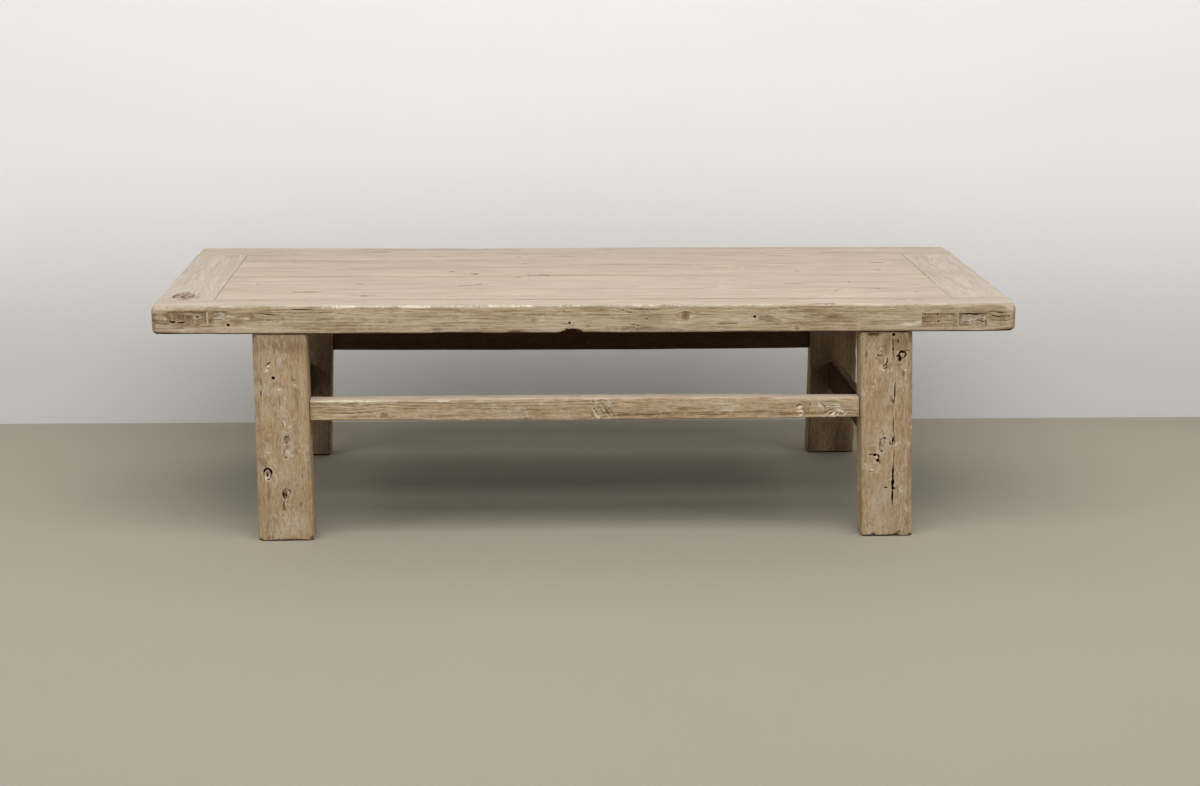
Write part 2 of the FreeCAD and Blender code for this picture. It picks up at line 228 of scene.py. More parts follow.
@dataclass
class Surface:
    """Skin of one timber while it is being weathered, with one row or value for each vertex."""

    points: Array
    normals: Array
    fibre: Array
    grain: int
    noise: Noise
    press: Array
    scar: Array
    tone: Array
    knot: Array
    soot: Array
    scrub: Array

    @classmethod
    def of(cls, points: Array, normals: Array, grain: int, noise: Noise) -> "Surface":
        """Start a clean skin over some points."""
        fields = [np.zeros(len(points)) for _ in range(6)]
        return cls(points, normals, points.copy(), grain, noise, *fields)

    def reached(self, face: Face, middle: Pair, reach: Pair) -> Array:
        """Tell which vertices look about the same way as a face and lie within reach of a place on it.

        Args:
            face: The face.
            middle: The place, in millimetres.
            reach: How far it reaches, in millimetres.

        Returns:
            Numbers of the vertices.
        """
        first, second = face.axes
        beside = np.abs(self.points[:, first] / MM - middle[0]) < reach[0]
        beside &= np.abs(self.points[:, second] / MM - middle[1]) < reach[1]
        return np.flatnonzero(beside & (self.normals @ face.outward > 0.3))

    def part(self, chosen: Array) -> "Surface":
        """Copy of the skin at some vertices."""
        names = ("points", "normals", "fibre", "press", "scar", "tone", "knot")
        return replace(self, **{name: getattr(self, name)[chosen] for name in names})

    def put(self, chosen: Array, part: "Surface") -> None:
        """Write the changed skin of some vertices back."""
        for name in ("fibre", "press", "scar", "tone", "knot"):
            getattr(self, name)[chosen] = getattr(part, name)

    def rough(self, cell: float, shift: float = 0.0) -> Array:
        """Read the timber's noise at every vertex, or a little beside it."""
        return self.noise.at(self.points + shift, cell)

    def spot(self, face: Face, at: Pair) -> tuple[Array, Array, Array]:
        """Measure from a place on a face.

        Args:
            face: The face that the place is on.
            at: The place, in millimetres on the face's two axes.

        Returns:
            Offsets on the face's two axes in millimetres, and how squarely each vertex looks that way.
        """
        first, second = face.axes
        square_on = np.abs(face.outward).max() == 1.0
        limit, ease = (0.35, 0.3) if square_on else (0.72, 0.08)
        facing = smooth((self.normals @ face.outward - limit) / ease)
        return self.points[:, first] / MM - at[0], self.points[:, second] / MM - at[1], facing


class Mark(ABC):
    """Something that time or a tool left on one face of a timber."""

    face: Face
    spread = 2.0

    def apply(self, surface: Surface) -> None:
        """Leave the mark on the part of a skin that it reaches.

        Args:
            surface: Skin of the timber.
        """
        middle, reach, _ = self.extent()
        chosen = surface.reached(self.face, middle, tuple(size * self.spread + 6.0 for size in reach))
        if len(chosen):
            part = surface.part(chosen)
            self.press(part)
            surface.put(chosen, part)

    @abstractmethod
    def press(self, surface: Surface) -> None:
        """Press and tint the skin."""

    @abstractmethod
    def extent(self) -> tuple[Pair, Pair, float]:
        """Give the middle, the reach and the finest step that the mark needs, in millimetres."""


@dataclass(frozen=True)
class Knot(Mark):
    """Knot with rings, a cracked rim with a painted highlight just outside it, and fibres that flow round it.

    Sizes are half widths on the face's two axes. The hole is the share of the knot that has fallen out.
    """

    face: Face
    at: Pair
    size: Pair
    hole: float = 0.0
    rim: float = 0.7
    sink: float = 0.5
    dark: float = 0.6
    flow: float = 1.0
    spread = 7.0

    def extent(self) -> tuple[Pair, Pair, float]:
        """Cover the knot and its rim."""
        return self.at, (self.size[0] * 1.3, self.size[1] * 1.3), max(1.2, min(self.size) / 5)

    def press(self, surface: Surface) -> None:
        """Sink the knot, crack its rim and bend the fibres round it.

        Args:
            surface: Skin of the timber.
        """
        u, v, facing = surface.spot(self.face, self.at)
        cell = 0.7 * min(self.size)
        wobble = surface.rough(cell, self.size[0])
        reach = np.hypot(u / self.size[0], v / self.size[1]) * (1 + 0.22 * wobble)
        inside = smooth((1.0 - reach) / 0.25) * facing
        surface.knot = np.maximum(surface.knot, np.clip(1.0 - reach, 0, 1) * facing * self.dark)
        rings = 0.5 + 0.5 * np.sin(reach * 17.0)
        surface.press += self.sink * inside * (0.5 + 0.6 * rings)
        broken = smooth(0.55 + 1.7 * surface.rough(cell))
        width = max(0.14, 0.95 / min(self.size))
        band = np.exp(-(((reach - 0.95) / width) ** 2)) * facing * broken
        surface.scar = np.maximum(surface.scar, self.rim * band)
        surface.press += 1.2 * self.rim * band
        # Pale ring just outside the rim: a painted highlight on the lip round the knot.
        painted_rim_highlight = np.exp(-(((reach - 1.35) / (1.6 * width)) ** 2)) * facing * smooth(0.3 + broken)
        surface.tone += 0.5 * self.rim * painted_rim_highlight
        if self.hole:
            fallen = smooth((self.hole - reach) / 0.18) * facing
            surface.press += 6.0 * fallen
            surface.scar = np.maximum(surface.scar, fallen)
        self.bend_fibres(surface, u, v, facing)

    def bend_fibres(self, surface: Surface, u: Array, v: Array, facing: Array) -> None:
        """Push the lines of the grain apart where they pass the knot.

        Args:
            surface: Skin of the timber.
            u: Offset on the face's first axis.
            v: Offset on its second axis.
            facing: How squarely a vertex looks that way.
        """
        first, second = self.face.axes
        if surface.grain == second:
            along, across, size_along, size_across, axis = v, u, self.size[1], self.size[0], first
        else:
            along, across, size_along, size_across, axis = u, v, self.size[0], self.size[1], second
        bulge = np.exp(-((along / (2.4 * size_along)) ** 2)) * np.exp(-np.abs(across) / (2.6 * size_across))
        bulge *= smooth(3.0 - np.abs(across) / (2.8 * size_across))
        pushed = np.tanh(across / size_across * 1.5) * bulge * size_across * self.flow
        surface.fibre[:, axis] -= pushed * facing * MM


@dataclass(frozen=True)
class Crack(Mark):
    """Drying crack or gouge along a line of points on a face."""

    face: Face
    points: Sequence[Pair]
    width: float = 1.2
    depth: float = 3.0
    dark: float = 1.0
    stray: float = 0.5
    lip: float = 0.5
    tone: float = 0.0

    def curve(self) -> Array:
        """The line with its corners cut twice, so that it bends."""
        line = np.array(self.points, dtype=float)
        for _ in range(2 if len(line) > 2 else 0):
            near, far = 0.75 * line[:-1] + 0.25 * line[1:], 0.25 * line[:-1] + 0.75 * line[1:]
            inner = np.stack([near, far], axis=1).reshape(-1, 2)
            line = np.vstack([line[:1], inner[1:-1], line[-1:]])
        return line

    def extent(self) -> tuple[Pair, Pair, float]:
        """Cover the whole line."""
        line = np.array(self.points)
        middle, reach = (line.min(0) + line.max(0)) / 2, (line.max(0) - line.min(0)) / 2 + self.width
        return (middle[0], middle[1]), (reach[0], reach[1]), max(1.1, self.width * 0.6)

    def press(self, surface: Surface) -> None:
        """Open the crack, widest in its middle and tapering to both ends.

        Args:
            surface: Skin of the timber.
        """
        u, v, facing = surface.spot(self.face, (0.0, 0.0))
        wander = surface.rough(9.0) * self.stray
        u, v = u + wander, v + wander
        line = self.curve()
        steps = np.hypot(*np.diff(line, axis=0).T)
        done = np.concatenate([[0.0], np.cumsum(steps)]) / steps.sum()
        nearest, place = np.full(len(u), FAR), np.zeros(len(u))
        for index, (start, stop) in enumerate(zip(line[:-1], line[1:])):
            run = stop - start
            share = np.clip(((u - start[0]) * run[0] + (v - start[1]) * run[1]) / (run @ run), 0, 1)
            gap = np.hypot(u - start[0] - share * run[0], v - start[1] - share * run[1])
            closer = gap < nearest
            nearest = np.where(closer, gap, nearest)
            place = np.where(closer, done[index] + share * (done[index + 1] - done[index]), place)
        ragged = 1 + 0.8 * surface.rough(7.0, 1.0)
        half = 0.5 * self.width * np.clip(np.sin(np.pi * np.clip(place, 0.04, 0.96)), 0, 1) ** 0.7 * ragged
        surface.press += self.depth * np.clip(1 - nearest / half, 0, 1) * facing
        stain = smooth(1.5 - nearest / (half + 0.35)) * (0.65 + 0.5 * ragged * half / self.width)
        beside = np.exp(-(((nearest - half - 1.7) / 0.9) ** 2)) * np.clip(ragged - 0.5, 0, 1)
        surface.tone += (self.lip * beside + self.tone * np.clip(stain, 0, 1)) * facing
        shade = np.clip(stain, 0, 1) * facing * self.dark
        surface.scar = np.maximum(surface.scar, shade)


def stroke(face: Face, points: Sequence[Pair], width: float = 2.0, tone: float = 1.2, depth: float = -0.25) -> Crack:
    """Pale torn fibre or flake along a line, raised a little unless it has a depth."""
    return Crack(face, points, width, depth, 0.0, 0.3, 0.0, tone)


@dataclass(frozen=True)
class Hole(Mark):
    """Round hole of a worm or a nail."""

    face: Face
    at: Pair
    radius: float = 1.2
    depth: float = 6.0

    def extent(self) -> tuple[Pair, Pair, float]:
        """Cover the hole."""
        return self.at, (self.radius * 1.4, self.radius * 1.4), max(0.8, self.radius / 2.5)

    def press(self, surface: Surface) -> None:
        """Sink the hole and darken it.

        Args:
            surface: Skin of the timber.
        """
        u, v, facing = surface.spot(self.face, self.at)
        inside = smooth((1.25 * self.radius - np.hypot(u, v)) / (0.5 * self.radius)) * facing
        surface.press += self.depth * inside
        surface.scar = np.maximum(surface.scar, inside)
        surface.tone += 0.5 * np.exp(-(((np.hypot(u, v) - 2.1 * self.radius) / (0.6 * self.radius)) ** 2)) * facing


@dataclass(frozen=True)
class Dent(Mark):
    """Soft dent or patch: half widths on the face's axes, turned by an angle in degrees.

    A tone above 0 is a pale patch and below 0 a dark one.
    """

    face: Face
    at: Pair
    size: Pair
    turn: float = 0.0
    depth: float = 0.0
    tone: float = 0.0
    scar: float = 0.0
    ragged: float = 0.35
    soft: float = 1.0

    def extent(self) -> tuple[Pair, Pair, float]:
        """Cover the dent, coarsely where it only tints."""
        reach = max(self.size) if self.turn else 0.0
        fine = max(1.4, min(self.size) / 3) if self.depth or self.scar else 3.0
        return self.at, (max(self.size[0], reach * 0.7), max(self.size[1], reach * 0.7)), fine

    def press(self, surface: Surface) -> None:
        """Press and tint the skin inside the ellipse.

        Args:
            surface: Skin of the timber.
        """
        u, v, facing = surface.spot(self.face, self.at)
        turn = math.radians(self.turn)
        along = (u * math.cos(turn) + v * math.sin(turn)) / self.size[0]
        across = (v * math.cos(turn) - u * math.sin(turn)) / self.size[1]
        cell = max(2.0, 0.6 * min(self.size))
        torn = surface.rough(cell, self.size[0]) * self.ragged
        inside = smooth((0.75 + 0.5 * self.soft - np.hypot(along, across) * (1 + torn)) / self.soft) * facing
        surface.press += self.depth * inside
        surface.tone += self.tone * inside
        surface.scar = np.maximum(surface.scar, self.scar * inside)


@dataclass(frozen=True)
class Pocket(Mark):
    """Sharp recess between two corners of a face, for a tenon end or a patch."""

    face: Face
    low: Pair
    high: Pair
    depth: float = 6.0

    def extent(self) -> tuple[Pair, Pair, float]:
        """Cover the recess."""
        middle = ((self.low[0] + self.high[0]) / 2, (self.low[1] + self.high[1]) / 2)
        return middle, ((self.high[0] - self.low[0]) / 2, (self.high[1] - self.low[1]) / 2), 2.0

    def press(self, surface: Surface) -> None:
        """Sink what lies between the corners and hold the rim flat.

        Args:
            surface: Skin of the timber.
        """
        u, v, facing = surface.spot(self.face, (0.0, 0.0))
        inside = (u > self.low[0]) & (u < self.high[0]) & (v > self.low[1]) & (v < self.high[1])
        near = np.maximum(np.maximum(self.low[0] - u, u - self.high[0]), np.maximum(self.low[1] - v, v - self.high[1]))
        calm = smooth(near / 6.0)
        square = facing > 0.9
        surface.press = np.where(square, surface.press * calm, surface.press)
        surface.press[inside & square] = self.depth
        surface.scar[inside & square] = 0.3


LINES = {"crack": Crack, "stroke": stroke}
SPOTS = {"dent": Dent, "knot": Knot, "hole": Hole}
PIT = ((2.2, 4.5), 0.0, 1.2, 0.0, 0.85, 0.3, 0.5)


def marks_of(table: str, low: Pair = (0.0, 0.0), high: Pair = (0.0, 0.0)) -> list[Mark]:
    """Read a table of marks.

    Args:
        table: Notes parted by semicolons. A note has the mark's places on the face's two axes and, for a dent or a
            knot, its two half widths. The other settings follow a slash, in the order of the mark's class. A face or
            a kind of mark that is named holds until the next one. A pit is a small dark dent.
        low: What the places are measured from, in millimetres.
        high: What the places that end in h are measured from.

    Returns:
        The marks, in the order of the table.
    """
    def place(word: str, axis: int) -> float:
        """Read a place on one axis of the face."""
        return high[axis] + float(word[:-1]) if word.endswith("h") else low[axis] + float(word)

    marks: list[Mark] = []
    face, kind = Face.TOP, "dent"
    for note in table.split(";"):
        words, _, settings = (part.split() for part in note.partition("/"))
        while words[0][0].isalpha():
            if words[0] in Face.__members__:
                face = Face[words.pop(0)]
            else:
                kind = words.pop(0)
        points = [(place(one, 0), place(two, 1)) for one, two in zip(words[::2], words[1::2])]
        others = [float(word) for word in settings]
        if kind == "pit":
            marks.append(Dent(face, points[0], *PIT))
        elif kind in LINES:
            marks.append(LINES[kind](face, points, *others))
        else:
            sizes = [(float(words[2]), float(words[3]))] if len(words) > 2 else []
            marks.append(SPOTS[kind](face, points[0], *sizes, *others))
    return marks


def stations(low: float, high: float, step: float, fine: Iterable[Triple], exact: Iterable[float]) -> Array:
    """Places of the mesh lines along one axis, closer together where detail needs them.

    Args:
        low: Low end, in millimetres.
        high: High end, in millimetres.
        step: Usual distance between lines.
        fine: Stretches as their middle, reach and step.
        exact: Places that get a line of their own.

    Returns:
        The places in millimetres, from low to high.
    """
    samples = np.linspace(low, high, 6001)
    spacing = np.full(len(samples), step)
    for middle, reach, small in fine:
        away = np.clip(np.abs(samples - middle) / max(reach, 1e-6) - 1.0, 0.0, 1.0)
        spacing = np.minimum(spacing, small + (step - small) * away)
    share = np.concatenate([[0.0], np.cumsum(np.diff(samples) / ((spacing[1:] + spacing[:-1]) / 2))])
    places = np.interp(np.linspace(0.0, share[-1], max(3, int(round(share[-1])) + 1)), share, samples)
    for line in exact:
        if low < line < high:
            kept = (np.abs(places - line) > 0.12) | (places == low) | (places == high)
            places = np.sort(np.append(places[kept], line))
    return places


def gridded_mesh(name: str, places: Sequence[Array]) -> tuple[bpy.types.Mesh, Array]:
    """Box whose faces are cut into a grid with lines at chosen places.

    Args:
        name: Name of the mesh.
        places: For each axis, where its lines lie, in millimetres.

    Returns:
        The mesh, and the places of its vertices in metres.
    """
    bm = bmesh.new()
    bmesh.ops.create_cube(bm, size=1.0)
    for axis, lines in enumerate(places):
        edges = [edge for edge in bm.edges if abs(edge.verts[0].co[axis] - edge.verts[1].co[axis]) > 0.5]
        bmesh.ops.subdivide_edges(bm, edges=edges, cuts=len(lines) - 2, use_grid_fill=True)
    mesh = bpy.data.meshes.new(name)
    bm.to_mesh(mesh)
    bm.free()
    shares = read(mesh)
    points = np.empty_like(shares)
    for axis, lines in enumerate(places):
        index = np.rint((shares[:, axis] + 0.5) * (len(lines) - 1)).astype(int)
        points[:, axis] = lines[index] * MM
    return mesh, points


def read(mesh: bpy.types.Mesh) -> Array:
    """Places of a mesh's vertices, one row each."""
    flat = np.empty(len(mesh.vertices) * 3, dtype=np.float32)
    mesh.vertices.foreach_get("co", flat)
    return flat.reshape(-1, 3).astype(float)


def write(mesh: bpy.types.Mesh, points: Array) -> None:
    """Move a mesh's vertices to some places."""
    mesh.vertices.foreach_set("co", points.astype(np.float32).ravel())
    mesh.update()


def read_normals(mesh: bpy.types.Mesh) -> Array:
    """Outward direction at each vertex of a mesh."""
    flat = np.empty(len(mesh.vertices) * 3, dtype=np.float32)
    mesh.vertex_normals.foreach_get("vector", flat)
    return flat.reshape(-1, 3).astype(float)


def roll(points: Array, across: Array, down: Array, radius: Array, way_across: Array, way_down: Array) -> Array:
    """Round the arris between two faces.

    Args:
        points: Vertices of the skin.
        across: Distance of each flat vertex from the first face.
        down: Distance of each flat vertex from the second face.
        radius: Radius of the arris at each vertex.
        way_across: Outward direction of the first face, for each vertex or for all.
        way_down: Outward direction of the second face.

    Returns:
        The moved vertices.
    """
    zone = (across < radius) & (down < radius)
    first = np.where(zone, radius - across, 1.0)
    second = np.where(zone, radius - down, 1.0)
    share = np.maximum(first, second) / np.hypot(first, second)
    move_across = np.where(zone, first - first * share, 0.0)
    move_down = np.where(zone, second - second * share, 0.0)
    return points - move_across[:, None] * way_across - move_down[:, None] * way_down


def bevel(points: Array, across: Array, down: Array, size: Array, way_across: Array, way_down: Array) -> Array:
    """Cut the arris between two faces flat, with the same arguments as a round."""
    cut = np.clip(size - across - down, 0.0, None)[:, None] / 2
    return points - cut * way_across - cut * way_down


def add_attribute(mesh: bpy.types.Mesh, name: str, values: Array) -> None:
    """Store a number or a vector for each vertex of a mesh.

    Args:
        mesh: The mesh.
        name: Name of what is made.
        values: One row or value for each vertex.
    """
    if values.ndim == 1:
        mesh.attributes.new(name, "FLOAT", "POINT").data.foreach_set("value", values.astype(np.float32))
    else:
        data = mesh.attributes.new(name, "FLOAT_VECTOR", "POINT").data
        data.foreach_set("vector", values.astype(np.float32).ravel())


@dataclass
class Timber:
    """One length of timber: a worn block with its grain, arrises, marks and old surface.

    Sizes are in millimetres but for the box, which is in metres. The post axis is the one that the corner
    rounds run along, and the rims are the rounds at its low and high ends.
    """

    name: str
    nodes: tuple[str, ...]
    slot: str
    finish: str
    box: Box
    grain: int
    seed: int
    post: int = 2
    steps: Triple = (4.0, 2.5, 2.5)
    triangles: int = 100000
    corner_rounds: dict[tuple[int, int], float] = field(default_factory=dict)
    bevels: tuple[tuple[int, int], ...] = ()
    rims: dict[int, float] = field(default_factory=dict)
    corner_wear: dict[int, float] = field(default_factory=dict)
    open_sides: tuple[tuple[int, int], ...] = ()
    seam_round: float = 0.5
    wave: float = 0.7
    relief: float = 0.22
    heart: Triple = (0.0, 0.0, -60.0)
    marks: Sequence[Mark] = ()
    strewn: Sequence[Mark] = ()
    shape: Optional[Callable[[Array], Array]] = None
    old_skin_and_shade: Optional[Callable[[Surface], Array]] = None
    scrubbed: Optional[Callable[[Surface], Array]] = None
    corner_reach: float = 26.0
    sharp_angle: float = 50.0

    @property
    def sides(self) -> tuple[int, int]:
        """The two axes across the post axis."""
        first, second = [axis for axis in range(3) if axis != self.post]
        return first, second

    @property
    def grain_first(self) -> list[int]:
        """The three axes with that of the grain in front."""
        return [self.grain] + [axis for axis in range(3) if axis != self.grain]

    def gap(self, flat: Array, axis: int, side: int) -> Array:
        """Distance of each vertex of the unworn block from one of its faces."""
        edge = self.box.high[axis] if side > 0 else self.box.low[axis]
        return np.abs(edge - flat[:, axis])

    def grid(self) -> list[Array]:
        """Mesh lines along every axis, coarse enough for the piece's share of triangles."""
        coarseness = 1.0
        while True:
            places = [self.lines(axis, coarseness) for axis in range(3)]
            x, y, z = (len(lines) - 1 for lines in places)
            if 4 * (x * y + y * z + z * x) <= self.triangles:
                return places
            coarseness *= 1.05

    def lines(self, axis: int, coarseness: float) -> Array:
        """Mesh lines along one axis, closer at arrises, seams and marks.

        Args:
            axis: The axis.
            coarseness: What the steps between lines are multiplied by.

        Returns:
            The places in millimetres.
        """
        low, high = self.box.low[axis] / MM, self.box.high[axis] / MM
        fine: list[Triple] = []
        exact: list[float] = []
        rounds = list(self.corner_rounds.values()) if axis != self.post else []
        rounds += list(self.rims.values()) if axis == self.post or self.open_sides else []
        widest = max(rounds, default=0.0)
        for edge in (low, high):
            if axis != self.grain and widest:
                fine.append((edge, widest * 0.8, max(1.3, widest / 5)))
                fine.append((edge, min(rounds) * 0.8, max(0.9, min(rounds) / 5)))
            elif widest:
                fine.append((edge, widest * 0.8, 2.2))
            exact += [edge + way * share * self.seam_round for way in (1, -1) for share in (0.5, 1.1, 2.2)]
        for mark in self.marks:
            middle, reach, small = mark.extent()
            if axis in mark.face.axes:
                place = mark.face.axes.index(axis)
                fine.append((middle[place], reach[place], small))
                if isinstance(mark, Pocket):
                    for line in (mark.low[place], mark.high[place]):
                        exact += [line - 0.1, line + 0.1]
        fine = [(middle, reach, step * coarseness) for middle, reach, step in fine]
        return stations(low, high, self.steps[axis] * coarseness, fine, exact)

    def worn(self, flat: Array, noise: Noise) -> Array:
        """Round the corners, rims and seams of the unworn block.

        Args:
            flat: Vertices on the flat faces of the block.
            noise: Field that makes the rounds uneven.

        Returns:
            The moved vertices.
        """
        points = flat.copy()
        first, second = self.sides
        uneven = 1 + 0.26 * noise.at(flat, 70.0) + 0.24 * noise.at(flat, 19.0)
        inset = np.full(len(flat), FAR)
        outward = np.zeros_like(flat)
        for axis, side in self.open_sides:
            gap = self.gap(flat, axis, side)
            outward[gap < inset] = unit(axis, side)
            inset = np.minimum(inset, gap)
        for (side_first, side_second), size in self.corner_rounds.items():
            radius = size * MM * uneven
            near_first, near_second = self.gap(flat, first, side_first), self.gap(flat, second, side_second)
            ways = unit(first, side_first), unit(second, side_second)
            cut = bevel if (side_first, side_second) in self.bevels else roll
            points = cut(points, near_first, near_second, radius, *ways)
            zone = (near_first < radius) & (near_second < radius)
            radial = (radius - near_first)[:, None] * ways[0] + (radius - near_second)[:, None] * ways[1]
            outward[zone] = radial[zone] / np.linalg.norm(radial[zone], axis=1)[:, None]
        wear = np.ones(len(flat))
        beside = np.full(len(flat), FAR)
        for axis, side in self.open_sides:
            if axis != self.grain:
                beside = np.minimum(beside, self.gap(flat, axis, side))
        for side, extra in self.corner_wear.items():
            away = np.hypot(self.gap(flat, self.grain, side), beside)
            wear += extra * np.exp(-((away / (self.corner_reach * MM)) ** 2))
        for side, size in self.rims.items():
            depth = self.gap(flat, self.post, side)
            worn_away = wear if side > 0 else wear ** 0.6
            points = roll(points, inset, depth, size * MM * uneven * worn_away, outward, unit(self.post, side))
        seam_radius = self.seam_round * MM * (0.75 + 0.6 * noise.at(flat + 2.0, 55.0))
        for axis in self.sides:
            for side in (-1, 1):
                if (axis, side) not in self.open_sides:
                    across, down = self.gap(flat, axis, side), self.gap(flat, 2, 1)
                    points = roll(points, across, down, seam_radius, unit(axis, side), unit(2, 1))
        return points

    def build(self) -> bpy.types.Object:
        """Make the timber's mesh, weather it and dress it.

        Returns:
            The finished piece, riding on the table's body.
        """
        noise = Noise(self.seed)
        mesh, flat = gridded_mesh(self.name, self.grid())
        points = self.worn(flat, noise)
        if self.shape:
            points = self.shape(points)
        write(mesh, points)
        surface = Surface.of(points, read_normals(mesh), self.grain, noise)
        self.weather(surface)
        points = points - surface.normals * surface.press[:, None] * MM
        points[:, 2] = np.maximum(points[:, 2], cad_low[2])
        write(mesh, points)
        self.store(mesh, surface)
        mesh.shade_smooth()
        mesh.set_sharp_from_angle(angle=math.radians(self.sharp_angle))
        return self.mount(mesh)

    def weather(self, surface: Surface) -> None:
        """Hew, mark and colour the skin.

        Args:
            surface: Skin of the timber.
        """
        surface.press += self.wave * (0.55 + 0.35 * surface.rough(220.0) + 0.2 * surface.rough(60.0))
        for mark in (*self.strewn, *self.marks):
            if not isinstance(mark, Pocket):
                mark.apply(surface)
        fibre = surface.fibre[:, self.grain_first]
        combed = surface.noise.at(fibre + 3.0, (55.0, 5.0, 5.0))
        tufted = surface.noise.at(fibre + 7.0, (18.0, 2.6, 2.6))
        surface.press += self.relief * (0.6 + 0.6 * combed + 0.35 * tufted)
        for mark in self.marks:
            if isinstance(mark, Pocket):
                mark.apply(surface)
        if self.old_skin_and_shade:
            surface.soot = np.clip(self.old_skin_and_shade(surface), 0, 1)
        if self.scrubbed:
            surface.scrub = np.clip(self.scrubbed(surface), 0, 1)

    def store(self, mesh: bpy.types.Mesh, surface: Surface) -> None:
        """Keep on the mesh what its finish reads.

        Args:
            mesh: The mesh.
            surface: Skin of the timber.
        """
        centre = self.box.centre + np.array(self.heart) * MM
        centre[self.grain] = -0.37 * self.seed
        add_attribute(mesh, "fibre", (surface.fibre - centre)[:, self.grain_first])
        end = smooth((np.abs(surface.normals[:, self.grain]) - 0.55) / 0.3)
        for name, values in (("scar", surface.scar), ("tone", surface.tone), ("knot", surface.knot),
                             ("soot", surface.soot), ("scrub", surface.scrub), ("end", end)):
            add_attribute(mesh, name, values)

    def mount(self, mesh: bpy.types.Mesh) -> bpy.types.Object:
        """Put the mesh in the scene as a piece of the table.

        Args:
            mesh: The mesh.

        Returns:
            The piece.
        """
        piece = bpy.data.objects.new(self.name, mesh)
        bpy.context.scene.collection.objects.link(piece)
        mesh.materials.append(bpy.data.materials[self.finish])
        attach(piece, "root")
        if self.nodes:
            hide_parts(*self.nodes)
        log.info("%s: %d vertices", self.name, len(mesh.vertices))
        return piece


def scatter(seed: int, face: Face, low: Pair, high: Pair, grain: int, holes: int = 0, cracks: int = 0,
            knots: int = 0, dents: int = 0) -> list[Mark]:
    """Strew small marks over a stretch of a face.

    Args:
        seed: Seed of the draw.
        face: The face that gets the marks.
        low: Low corner of the stretch, in millimetres on the face's axes.
        high: High corner of the stretch.
        grain: Axis of the grain, which the cracks follow.
        holes: How many worm holes.
        cracks: How many short drying cracks.
        knots: How many pin knots.
        dents: How many shallow knocks.

    Returns:
        The marks.
    """
    rng = np.random.default_rng(seed)
    marks: list[Mark] = []
    lengthwise = face.axes.index(grain) if grain in face.axes else 0
    for _ in range(holes):
        marks.append(Hole(face, tuple(rng.uniform(low, high)), rng.uniform(0.6, 1.1), 3.0))
    for _ in range(cracks):
        start = rng.uniform(low, high)
        run = np.array([0.0, 0.0])
        run[lengthwise], run[1 - lengthwise] = rng.uniform(14, 70), rng.uniform(-1.5, 1.5)
        middle = start + run / 2 + rng.uniform(-0.8, 0.8, 2)
        line = [tuple(start), tuple(middle), tuple(start + run)]
        marks.append(Crack(face, line, rng.uniform(0.5, 1.0), rng.uniform(0.8, 2.0), rng.uniform(0.25, 0.6)))
    for _ in range(knots):
        size = rng.uniform(2.5, 6.0)
        stretch = [size, size]
        stretch[lengthwise] *= rng.uniform(1.1, 1.9)
        marks.append(Knot(face, tuple(rng.uniform(low, high)), tuple(stretch), 0.0, rng.uniform(0.2, 0.6)))
    for _ in range(dents):
        size = rng.uniform(2.0, 7.0, 2)
        marks.append(Dent(face, tuple(rng.uniform(low, high)), tuple(size), rng.uniform(0, 180),
                          rng.uniform(0.2, 0.9), rng.uniform(-0.35, 0.6)))
    return marks


